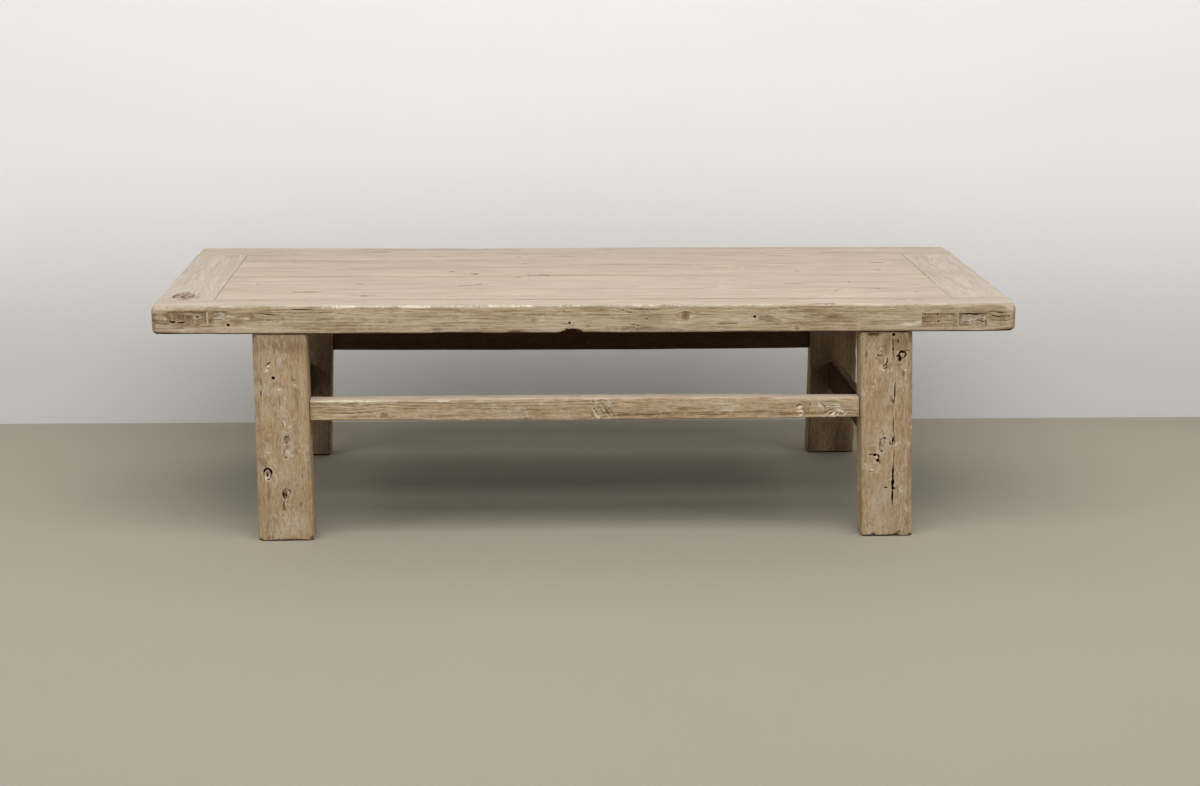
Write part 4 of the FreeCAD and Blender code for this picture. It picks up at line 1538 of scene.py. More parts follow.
    def tenon_end(self, name: str, side: str, space: Box, face: int) -> list[Timber]:
        """End of one through tenon, and the wedge beside its inner cheek.

        Args:
            name: The face that it shows on.
            side: The end of the table that it is at.
            space: Space of the tenon end and its wedge.
            face: 1 at the back and -1 at the front.

        Returns:
            The tenon end and the wedge.
        """
        way = -1 if side == "left" else 1
        wedge_width, gap, worn, deep = 3.6 * MM, 0.15 * MM, 0.7 * MM, 4.6 * MM
        shown = Face.FRONT if face < 0 else Face.BACK
        outer_y = face * (self.back.high[1] - worn)
        inner_y = face * (self.back.high[1] - deep)
        inner_x = space.high[0] if way < 0 else space.low[0]
        depths, heights = (inner_y, outer_y), (space.low[2], space.high[2])
        split = inner_x + way * wedge_width
        outer_x = space.low[0] if way < 0 else space.high[0]
        tenon = Box.between((outer_x, split + way * gap), depths, heights)
        wedge = Box.between((split, inner_x), depths, heights)
        low, high = tenon.low / MM, tenon.high / MM
        seed = 201 + 7 * way + 3 * face
        marks = scatter(seed, shown, (low[0] + 5, low[2] + 3), (high[0] - 5, high[2] - 3), 1, holes=4, dents=8)
        finish, relief, nodes = "end_grain", 0.3, ()
        if face < 0:
            marks += marks_of(TENON_MARKS[side], (low[0], low[2]), (high[0], high[2]))
            if side == "left":
                nodes = ("end_rail_wedges",)
            else:
                finish, relief = "grey_end_grain", 0.6
        end = Timber("%s_end_tenon_%s" % (side, name), (), "top_elm", finish, tenon, 1, seed, steps=(1.0, 1.4, 1.0),
                     seam_round=0.3, wave=0.25, relief=relief, heart=(30, 0, -35), marks=marks)
        driven = Timber("%s_wedge_%s" % (side, name), nodes, "wedge_elm", "pale_wedge", wedge, 2, seed + 1,
                        steps=(0.8, 1.4, 1.2), seam_round=0.4, wave=0.1, relief=0.15)
        return [end, driven]

    def patch(self, side: str, space: Box) -> Timber:
        """Patch let into the front face beside a tenon.

        Args:
            side: The end of the table that it is at.
            space: Space of the patch.

        Returns:
            The patch.
        """
        worn, thick = 0.5 * MM, 4.4 * MM
        box = Box(space.low + np.array([0.0, worn, 0.0]), space.high.copy())
        box.high[1] = box.low[1] + thick
        low, high = box.low / MM, box.high / MM
        marks = scatter(221, Face.FRONT, (low[0] + 3, low[2] + 3), (high[0] - 3, high[2] - 3), 0, cracks=2, dents=4)
        finish, seed, nodes = "grey_end_grain", 224, ("rail_patches",)
        if side == "right":
            finish, seed, nodes = "end_grain", 225, ()
            marks += marks_of(RIGHT_PATCH_MARKS, (low[0], low[2]), (high[0], high[2]))
        return Timber("rail_patch_" + side, nodes, "wedge_elm", finish, box, 0, seed, steps=(1.4, 1.6, 1.2),
                      seam_round=0.4, wave=0.2, relief=0.25, marks=marks)


PANEL_MARKS = """
TOP knot -391 -218 9 7 / .35 .9 1 .9; dent -391 -212 24 10 / 0 .3 -.35; knot -215 -232 26 17 / 0 .28 .3 .03;
dent -495 -180 34 9 / 3 .3 -.6; crack -530 -181 -495 -178 -462 -182 / 3.6 .8 .4;
-420 -205 -405 -210 -398 -214 / 3.1 1 .5; dent -600 -253 60 4 / 0 .3 -.55; 210 -253 40 4 / 0 .2 -.4;
knot 465 -180 22 15 / 0 .3 .4 .03; dent 465 -180 40 32 / 0 .3 .2; crack 440 -196 452 -186 450 -172 470 -166 / 3.1 .8 .5;
505 -158 530 -157 552 -159 / 3.6 .9 .6; pit 534 -158; crack 596 -110 606 -120 618 -122 / 3.6 1 .6; pit 488 -92;
crack -244 -136 -222 -124 -198 -110 -168 -100 / 4.4 1.2 .55; pit -410 -95; -404 -99; dent 390 -110 30 8 / 0 .2 -.3;
crack -104 -16 -84 -13 -60 -15 / 4.7 1.5 .85; pit -100 -15; -62 -16; dent -122 -34 14 6 / 30 .4 -.7;
crack -50 -16 -30 -14 -12 -17 / 3.6 1 .6; knot -200 0 9 6 / .3 .8 .8 .9; dent -200 0 22 8 / 0 .2 -.3;
-242 25 8 5 / -25 .4 -.9; pit 565 35; dent 565 35 12 5 / 0 .3 -.6; knot 578 118 14 8 / 0 .6 .6 .6;
dent -500 145 160 5 / 0 .2 -.4; -585 214 70 4 / 0 .2 -.4; -510 -24 130 6 / 0 .2 -.35; -80 -153 560 3 / 0 .1 .4;
-30 198 26 8 / 0 .2 -.3; -270 195 22 7 / 0 .2 -.3; 280 205 30 7 / 0 .2 -.3; 390 200 20 6 / 0 .2 -.3;
120 100 200 10 / 0 .1 -.2; -330 60 150 9 / 0 .1 -.25; 300 20 170 10 / 0 .1 .25; 60 -60 150 9 / 0 .1 .2;
-150 -200 130 12 / 0 .1 .3; 330 -230 160 8 / 0 .1 .25
"""


@dataclass
class Panel:
    """The five flush boards inside the frame of the top."""

    count: int = 5
    seam_round: float = 0.12

    def build(self) -> None:
        """Make every board."""
        for index in range(self.count):
            self.board(index).build()

    def board_box(self, index: int) -> Box:
        """Space of a board between its seams, without its tongues."""
        whole = node_box("panel_board_%d" % (index + 1))
        front = TONGUE if index == 0 else 0.0
        return Box(whole.low + np.array([TONGUE, front, 0.0]), whole.high - np.array([TONGUE, TONGUE, 0.0]))

    def board(self, index: int) -> Timber:
        """One board, scrubbed above and dark below.

        Args:
            index: Number of the board, from 0 at the front.

        Returns:
            The board.
        """
        box = self.board_box(index)
        low, high = box.low / MM, box.high / MM
        marks = [mark for mark in marks_of(PANEL_MARKS) if low[1] <= self.row(mark) < high[1]]
        strewn = scatter(41 + index, Face.TOP, (-630, low[1] + 6), (625, high[1] - 6), 0, holes=1, cracks=7,
                         knots=1, dents=7)
        strewn += scatter(51 + index, Face.UNDER, (-630, low[1] + 6), (625, high[1] - 6), 0, cracks=6, knots=2, dents=6)
        hearts = ((0, -18, -46), (0, 30, -70), (0, -40, -52), (0, 12, -60), (0, -30, -80))
        return Timber("panel_board_%d_timber" % (index + 1), ("panel_board_%d" % (index + 1),), "panel_elm",
                      "scrubbed_panel", box, 0, 111 + index, steps=(3.4, 1.9, 7.0), seam_round=self.seam_round,
                      wave=0.55, relief=0.25, heart=hearts[index], marks=marks, strewn=strewn, old_skin_and_shade=looks_down,
                      scrubbed=looks_up)

    @staticmethod
    def row(mark: Mark) -> float:
        """Place of a mark across the boards."""
        return mark.extent()[0][1]


@dataclass
class Battens:
    """The three dovetailed battens under the panel."""

    arris: float = 3.0

    def build(self) -> None:
        """Make every batten."""
        for index, name in enumerate(("batten_left", "batten_middle", "batten_right")):
            whole = node_box(name)
            front, back = node_box("front_rail"), node_box("back_rail")
            underside = node_box("panel_board_1").low[2]
            box = Box.between((whole.low[0], whole.high[0]), (front.high[1], back.low[1]), (whole.low[2], underside))
            low, high = box.low / MM, box.high / MM
            marks = scatter(61 + index, Face.UNDER, (low[0] + 4, low[1] + 8), (high[0] - 4, high[1] - 8), 1,
                            holes=2, cracks=4, dents=4)
            Timber(name + "_timber", (name,), "batten_elm", "dark_batten", box, 1, 131 + index, post=1,
                   steps=(2.6, 5.0, 2.6), corner_rounds={(-1, -1): self.arris, (1, -1): self.arris}, wave=0.6,
                   relief=0.3, heart=(8, 0, -30), strewn=marks).build()


@dataclass
class Leg:
    """One leaning, tapering leg, read from its node of the frame."""

    node: str
    seed: int
    outer_arris: float = 11.0
    inner_arris: float = 7.0
    foot_round: float = 3.0
    pocket_depth: float = 5.0
    pocket_gap: float = 0.35
    soil_and_shadow_level: float = 6.0
    top_shade_level: float = 325.0
    marks: Sequence[Mark] = ()

    def __post_init__(self) -> None:
        """Measure the leg at its shoulder and just above its foot."""
        points = cad_points(self.node)
        self.shoulder = node_box("front_rail").low[2]
        tight = 0.05 * MM
        self.top = box_of(points[np.abs(points[:, 2] - self.shoulder) < tight])
        low_level = self.foot_round * MM
        self.foot = box_of(points[np.abs(points[:, 2] - low_level) < tight])
        self.side = int(math.copysign(1, self.top.centre[0]))
        self.way = int(math.copysign(1, self.top.centre[1]))

    def section(self, level: float) -> Box:
        """Rectangle of the leg at a height, as a flat box.

        Args:
            level: Height, in metres.

        Returns:
            The rectangle.
        """
        share = (self.shoulder - level) / (self.shoulder - self.foot.low[2])
        low = self.top.low + (self.foot.low - self.top.low) * share
        high = self.top.high + (self.foot.high - self.top.high) * share
        low[2] = high[2] = level
        return Box(low, high)

    def lean(self, points: Array) -> Array:
        """Move a straight post to the taper and lean of the leg.

        Args:
            points: Places on the straight block, in metres.

        Returns:
            The moved places.
        """
        share = (self.shoulder - points[:, 2]) / (self.shoulder - self.foot.low[2])
        moved = points.copy()
        for axis in (0, 1):
            low = self.top.low[axis] + (self.foot.low[axis] - self.top.low[axis]) * share
            high = self.top.high[axis] + (self.foot.high[axis] - self.top.high[axis]) * share
            inside = (points[:, axis] - self.top.low[axis]) / self.top.size[axis]
            moved[:, axis] = low + (high - low) * inside
        return moved

    def timber(self) -> Timber:
        """The leg as a timber."""
        box = Box(np.array([self.top.low[0], self.top.low[1], 0.0]),
                  np.array([self.top.high[0], self.top.high[1], self.shoulder]))
        rounds = {(side, way): self.outer_arris if side == self.side else self.inner_arris
                  for side in (-1, 1) for way in (-1, 1)}
        return Timber(self.node + "_timber", (self.node,), "leg_elm", "weathered_leg", box, 2, self.seed,
                      steps=(1.8, 2.2, 2.0), triangles=160000 if self.way < 0 else 90000, corner_rounds=rounds,
                      bevels=((self.side, self.way),), rims={-1: self.foot_round},
                      open_sides=((0, -1), (0, 1), (1, -1), (1, 1)), wave=0.8, relief=0.25,
                      heart=(14.0 * self.side, -60.0 * self.way, 0.0), marks=[*self.marks, self.mortise()],
                      strewn=self.small_marks(), shape=self.lean, old_skin_and_shade=self.old_brown)

    def small_marks(self) -> list[Mark]:
        """Small marks on all four faces of the leg, and a painted contact shadow along the foot of each face."""
        low, high = self.top.low / MM + 11, self.top.high / MM - 11
        across, deep = ((low[0], 20), (high[0], 350)), ((low[1], 20), (high[1], 350))
        marks: list[Mark] = []
        for index, (face, stretch) in enumerate(((Face.FRONT, across), (Face.BACK, across), (Face.LEFT, deep),
                                                 (Face.RIGHT, deep))):
            cracks = 0 if face is Face.FRONT and self.way < 0 else 2
            marks += scatter(self.seed * 5 + index, face, *stretch, 2, holes=1, cracks=cracks, knots=1, dents=24)
            middle = (stretch[0][0] + stretch[1][0]) / 2
            # Painted contact shadow: a dark band along the bottom of the face, where the leg meets the floor.
            marks.append(Dent(face, (middle, 0.0), (60, 3.6), 0, 0.4, 0.0, 0.95, 0.3, 0.4))
        return marks

    def through_tenon(self) -> Box:
        """End of the long stretcher's tenon on the outer side of the leg."""
        node = "front_stretcher" if self.way < 0 else "back_stretcher"
        return end_section(node, 0, self.side)

    def mortise(self) -> Pocket:
        """Recess that the end of the long stretcher's tenon sits in."""
        tenon = self.through_tenon()
        low, high = tenon.low[1:] / MM - self.pocket_gap, tenon.high[1:] / MM + self.pocket_gap
        return Pocket(Face.LEFT if self.side < 0 else Face.RIGHT, tuple(low), tuple(high), self.pocket_depth)

    def old_brown(self, surface: Surface) -> Array:
        """Old brown skin on the two faces that look under the table, a little lighter towards the foot, with painted
        shade just below the top and dirt with a painted contact shadow at the foot.

        Args:
            surface: Skin of the timber.

        Returns:
            Share of brown skin, painted shade and foot dirt at each vertex.
        """
        inner = smooth((-self.way * surface.normals[:, 1] - 0.35) / 0.4)
        under = smooth((-self.side * surface.normals[:, 0] - 0.45) / 0.4)
        rubbed = 0.75 + 0.35 * surface.noise.at(surface.points, (30.0, 30.0, 70.0))
        height = surface.points[:, 2] / MM + 4.0 * surface.rough(12.0)
        # Dirt on the foot, darkened further as a painted contact shadow where the leg meets the floor.
        soil_and_contact_shadow = 0.75 * smooth((self.soil_and_shadow_level - height) / self.soil_and_shadow_level)
        # Painted shade where the tabletop keeps the light off the top of the leg.
        painted_top_shade = 0.22 * smooth((height - self.top_shade_level) / 40.0)
        inner *= 0.9 - 0.14 * smooth((190.0 - height) / 120.0)
        return np.maximum(np.maximum(inner, under * 0.35) * rubbed, np.maximum(soil_and_contact_shadow, painted_top_shade))

    def build(self) -> None:
        """Make the leg, the tenon end that shows on its side, and the wedge across it."""
        self.timber().build()
        tenon = self.through_tenon()
        section = self.section(tenon.centre[2])
        worn, thick, wedge, gap = 0.8 * MM, 4.4 * MM, 3.6 * MM, 0.2 * MM
        face_x = (section.high[0] if self.side > 0 else section.low[0]) - self.side * worn
        middle = tenon.centre[2]
        parts = (("lower", tenon.low[2], middle - wedge / 2 - gap, "end_grain", "stretcher_elm"),
                 ("wedge", middle - wedge / 2, middle + wedge / 2, "pale_wedge", "wedge_elm"),
                 ("upper", middle + wedge / 2 + gap, tenon.high[2], "end_grain", "stretcher_elm"))
        for index, (part, z_low, z_high, finish, slot) in enumerate(parts):
            box = Box.between((face_x, face_x - self.side * thick), (tenon.low[1], tenon.high[1]), (z_low, z_high))
            nodes = ("stretcher_wedges",) if part == "wedge" and self.node == "leg_front_left" else ()
            Timber("%s_tenon_%s" % (self.node[4:], part), nodes, slot, finish, box, 0 if finish == "end_grain" else 1,
                   self.seed + 40 + index, steps=(1.4, 1.2, 1.2), seam_round=0.4, wave=0.15, relief=0.2).build()


# The broad dark dent at -523 345 is painted shade below the tabletop, and the broad pale one at -518 29 is painted
# light from the floor.
FRONT_LEFT_LEG_MARKS = """
FRONT crack -559 313 -553 319 -547 322 / 1.7 1.6 .7; stroke -556 313 -553 315 -549 314 / 2.2 1.3; hole -545 293 / 2.5 7;
stroke -560 303 -556 307 -551 305 / 2.6 1.2; -540 271 -536 274 -532 271 / 3 1.3; dent -545 282 2.2 8 / 0 .3 -.5;
-551 270 17 11 / 0 -.1 .45 0 .7; -556 293 8 16 / 0 -.1 .3; stroke -512 284 -508 281 -504 279 / 3.4 1.7 1.2;
dent -512 290 4.5 4 / -30 .8 -.9; -506 271 4 5 / 0 .6 -.5; crack -565 358 -565 305 -566 246 / 1.3 1 .4;
-567 292 -567 281 / 1.4 1.1 .45; -567 273 -567 258 / 1.6 1.2 .55; -567 259 -566 247 / 1.4 1 .45;
-534 264 -534 251 -536 236 / 1.3 .9 .45; dent -506 257 3 17 / 0 .2 -.6; crack -543 231 -544 225 / 2 1.4 .6;
stroke -532 236 -529 240 -527 236 / 1.8 1; crack -535 216 -530 212 -529 205 / 1.4 1.2 .55;
stroke -530 217 -526 211 -528 204 / 2 1.1; -523 203 -518 207 -512 210 / 2 1.2; -518 199 -521 196 -527 197 / 1.7 .9;
crack -517 216 -513 214 -508 216 / 1.2 1 .4; dent -524 182 5.6 9 / -8 2.4 -1.4 0 .12 .3;
crack -529 178 -528 189 -519 190 / 1.6 1.4 .6 .2; dent -523 167 4.4 9 / -6 1.4 -.35 0 .15 .4;
crack -530 172 -530 159 -527 148 / 1.3 .9 .5; stroke -522 167 -521 157 -524 149 / 4.4 1.2; hole -526 151 / 1.3 3;
stroke -563 163 -557 160 -551 161 / 2.2 1.4; -560 156 -555 157 / 1.7 1; knot -559 122 8 9.5 / 0 .3 1 .35;
dent -559 122 6.5 7.5 / 0 1.2 .5; crack -567 122 -565 129 -559 132 -553 127 -553 119 -555 115 / 2.9 5 1 .2;
-561 124 -559 119 -561 116 / 2 3 .9 .2; hole -558 112 / 1.6 4; stroke -564 120 -562 114 -564 111 / 2.4 1.5;
-556 123 -557 118 / 2 1.5; dent -562 141 2.4 8 / 0 .3 -.8; -559 89 3.4 21 / -2 .4 -.7;
crack -561 106 -557 91 -560 69 / 1.4 1 .35; stroke -549 124 -544 117 -544 106 -548 97 / 2.6 1;
-551 109 -550 98 -552 84 / 2 .9; dent -537 124 4 6 / 20 .3 .5; -500 117 3 6 / 15 .5 -.5;
stroke -504 121 -501 113 -499 104 / 1.7 .9; knot -528 85 7 9 / 0 .5 1.2 .45;
crack -533 89 -534 82 -530 76 / 2.6 3 .95 .2; -530 88 -528 82 -529 77 / 1.7 2.4 .8 .2;
-525 95 -521 92 -521 86 / 1.5 1.6 .65 .2; stroke -529 93 -524 89 -525 82 / 2 1.3; dent -532 62 3 10 / 4 .4 -.85;
crack -531 75 -534 65 -533 54 / 1.3 1 .45; hole -478 25 / 1.9 4; dent -482 5 9 4.4 / 12 1.4 -1.2 0 .5;
crack -490 4 -484 6 -478 11 / 1.4 1.2 .5; dent -556 6 8 3 / 0 .6 -.8; crack -555 32 -556 19 -552 8 / 1.1 .7 .35;
dent -523 345 48 19 / 0 .1 -.42; -514 60 16 34 / 0 .1 -.15; -518 29 30 20 / 0 .1 .3;
LEFT_ARRIS -570 216 8 190 / 0 .1 -.22; FRONT -495 253 4 60 / 0 .1 .25
"""

# The broad dark dents at 536 350 and 536 318 are painted shade below the tabletop, and the broad pale one at 520 60 is
# painted light from the floor.
FRONT_RIGHT_LEG_MARKS = """
FRONT knot 539 353 5 5.5 / 0 .5 .8 .4; crack 541 358 544 355 543 350 / 1.8 2 .8;
533 362 534 350 535 340 536 325 537 317 / 1.5 1.8 .6; hole 534.5 339 / 1.5 4; stroke 530 350 531 341 530 334 / 2.2 1;
532 330 531 322 532 315 / 1.8 .9; knot 512.5 332 5 5 / 0 .75 .7 .2; stroke 511 333 514 331 / 2.2 1.3;
knot 514 314.6 4 4 / 0 .4 .4 .1; crack 525 325 525 318 523.5 313 / 1.8 2 .85; 525 313 522 312 517.5 308 / 1.7 2.2 .9;
519 304 523 306 525.5 311 / 1.6 2 .8; stroke 520 308 523 310 / 2 1.5; 515 307 517 303 522 301 / 1.6 1.2;
dent 547.5 321 3.6 5 / 0 5 0 1 .25 .4; 551.5 334 4 3 / 0 5 0 1 .3 .4; crack 549 326 541 328 / 3.4 4 1 .2;
545 328 547 334 550 338 / 2 3 .9 .2; 548 338 554 335 558 331 556 326 551 323 / 2.8 4 1 .2;
555 336 559 338.5 563 337 566 334 / 1.8 2.2 .9 .2; stroke 548 331 552 331.5 555 329 / 2.2 1.6;
547 327.5 550 327 552 328 / 2 .8; 544 336 542 333 / 2.4 1.4; 559 335 562 334 / 2.4 1.5; 541 322 543 319 / 2 1.2;
dent 548 314 3 3 / 0 .4 1.1; stroke 559 328 560 318 559 308 / 2.4 .9; 554 304 557 301 559 304 / 2.2 1.2;
dent 547 311 6 2.4 / 0 .3 -.9; 554 295 2.6 13 / 2 .4 -.8; stroke 546 294 549 289 552 292 / 1.6 .8;
dent 561 270 3.4 36 / 0 .2 .35; crack 540 300 539.5 292 540 282 / 1 .8 .35;
540 281 540.5 266 540 250 539 241 / 1.9 2.6 .85; 532.5 257 536 250 538 243 / 1.5 1.6 .65; dent 536 247 3 5 / 20 .5 -.7;
crack 537 242 538 236 537 228 / 1.3 1 .45; 539 218 539.5 203 540 190 / 1.8 2.6 .85; 540 184 540 176 539 170 / 2.2 2 .8;
541.5 190 543 183 542 177 / 1.4 1.2 .5; stroke 503 284 505 279 / 2.2 1.4; knot 522 166 5 14 / 0 .4 .6 .25;
crack 518 184 517 170 516.5 158 521 153 / 1.7 1.4 .8; 521 180 525 181 527 177 / 1.8 1.8 .8;
520 197 521 190 523 186 / 1.5 1 .6; 524 192 523 185 / 1.2 .8 .5; stroke 521 173 523 165 521 158 / 2.6 1;
527 172 528 164 525 155 / 1.8 1.1; hole 521 156 / 1.4 3; knot 539 172 5 5 / 0 .7 .7 .25;
stroke 539 166 543 163 546 168 545 173 / 1.8 1.2; 548 170 552 173 554 168 / 1.8 .9; dent 566 172 10 5 / -20 .5 .4;
508.5 148.5 3.8 3.2 / -20 4 0 1 .3 .4; 514.5 139 3.4 4.2 / 0 4 0 1 .3 .4; crack 512 151 516 147 516 141 / 2 3 .9 .2;
498 150 503 151 507 150 / 1.4 1.4 .7; stroke 509 144 512 146 513 143 / 2.6 1.6; 506 139 509 136 513 134 / 2 1.1;
dent 517 136 3 4 / 30 .5 -.8; stroke 489 134 496 130 506 128 / 2.2 1.3; 492 126 499 124 508 122 / 2 1.2;
498 134 504 133 / 1.6 .9; crack 496 121 502 119 507 120 / 1.2 .8 .4; 542 163 543 150 542 137 / 1.2 1.2 .5;
541.5 138 541.8 122 542 106 / 2.2 3 .9 .3; 542 116 542.4 101 542 85 / 5 5 1 .2; 542 90 542 73 542.4 57 / 2 2.6 .85;
hole 542.8 88 / 2.5 4; dent 547 88 3 4 / 0 .3 -1.1; knot 530 88 3.2 3.2 / 0 .8 .6 .4; hole 531 89 / 1.2 3;
stroke 553 88 556 83 561 84 / 1.6 1; crack 500 112 499.5 98 500.5 86 / 1.2 .8 .35;
561 302 560.5 240 561.5 180 / 1.1 .7 .3; 562 150 562.5 80 561 14 / 1.1 .6 .22;
RIGHT_ARRIS dent 572 180 8 190 / 0 .1 -.3; stroke 567 60 568 46 567 34 / 4 1; 570 184 571 172 570 160 / 3 .8;
FRONT dent 510 4 5 4 / 0 1.3 -.8 .5; 554 4 9 4.6 / 20 1.2 -1.2 0 .5; crack 546 3 552 7 560 12 / 1.3 .8 .4;
dent 500 366 16 4 / 0 .8 -.9 .5; 536 350 48 28 / 0 .1 -.5; 536 318 46 24 / 0 .1 -.2; hole 535 365 / 2.6 4;
dent 520 60 30 45 / 0 .1 .3; 520 240 16 50 / 0 .1 -.12
"""


@dataclass
class Legs:
    """The four legs with their marks."""

    def build(self) -> None:
        """Make every leg."""
        for leg in self.legs():
            leg.build()

    def legs(self) -> list[Leg]:
        """The legs, from the front left to the back right."""
        return [Leg("leg_front_left", 141, marks=marks_of(FRONT_LEFT_LEG_MARKS)),
                Leg("leg_front_right", 142, marks=marks_of(FRONT_RIGHT_LEG_MARKS)),
                Leg("leg_back_left", 143), Leg("leg_back_right", 144)]


FRONT_STRETCHER_MARKS = """
FRONT crack 22 249 31 236 43 215 / 2.2 .9 .42 .4; dent 32 232 8 19 / 36 .5 -.8; crack 16 243 24 231 33 217 / 1.9 .8 .4;
29 245 38 233 47 219 / 1.7 .6 .32; 20 238 28 226 35 215 / 1.5 .6 .3; 11 236 15 228 21 219 / 1.6 .7 .4;
hole 10 246 / 1.2 2; 11 233 / 1.2 2; 16 229 / 1.1 2; stroke 6 239 13 226 20 215 / 2.8 1.5; 12 246 18 243 / 2.4 1.3;
18 223 21 217 / 3 1.6; crack 18 249 26 251 35 246 / 1.8 1 .5; dent 46 236 9 13 / 30 .3 -.35;
crack 5 225 12 219 / 2 1.2 .5; stroke 33 248 39 247 42 242 / 2 1.1; 42 232 49 225 53 216 / 2 .9;
406 242 411 235 417 229 / 3.8 2.2; crack 411 243 416 238 420 232 / 2.2 1.6 .6;
stroke 415 226 426 233 438 235 457 231 / 2.6 2; 417 231 428 238 440 239 452 236 / 2 1.5;
420 221 430 228 442 231 455 226 / 2.2 1.8; 428 213 436 218 447 219 / 2.2 1.6; 436 214 443 222 444 229 / 2 1.6;
crack 418 223 429 228 443 229 / 1.6 1.2 .35; stroke 424 215 432 220 440 227 / 2.8 1.9;
439 228 448 228 453 223 / 2.6 1.7; 408 220 416 216 425 220 / 2.8 1.5; 446 217 453 220 459 227 / 2.6 1.5;
hole 429 223 / 1.2 2; 441 217 / 1.2 2; crack 446 224 452 221 457 226 / 1.8 1.2 .5; dent 430 225 26 10 / 0 1.2 -.35;
crack 367 235 373 240 379 239 / 2.3 1.6 .6; stroke 370 233 379 236 / 3.2 2; 369 226 376 229 382 224 / 2.8 1.6;
372 218 380 221 / 3 1.5; crack 389 235 390 225 / 1.8 1.2 .5; 388 246 393 240 391 234 / 1.5 .8 .35;
dent 384 232 14 14 / 0 .3 -.35; stroke -490 249 -419 250 -337 249 / 2.8 1.4; -266 249 -241 249 / 2.4 1.3;
dent 112 221 90 5 / -2 .3 -.35; 325 225 60 8 / 0 .2 -.35; -262 221 70 4 / 2 .3 -.2; -49 243 120 5 / 0 .2 .3;
201 245 90 5 / 0 .2 .35; -422 240 70 5 / 0 .2 .3; -430 226 14 5 / 0 .8 .5;
crack -470 228 -420 227 -350 232 / 1.5 .9 .45; dent -400 250 100 3 / 0 .3 .7; -200 250 150 3 / 0 .3 .6;
60 222 120 5 / 0 .2 -.25; -150 225 160 5 / 2 .2 -.25; TOP -100 -303 380 4 / 0 .2 .5
"""


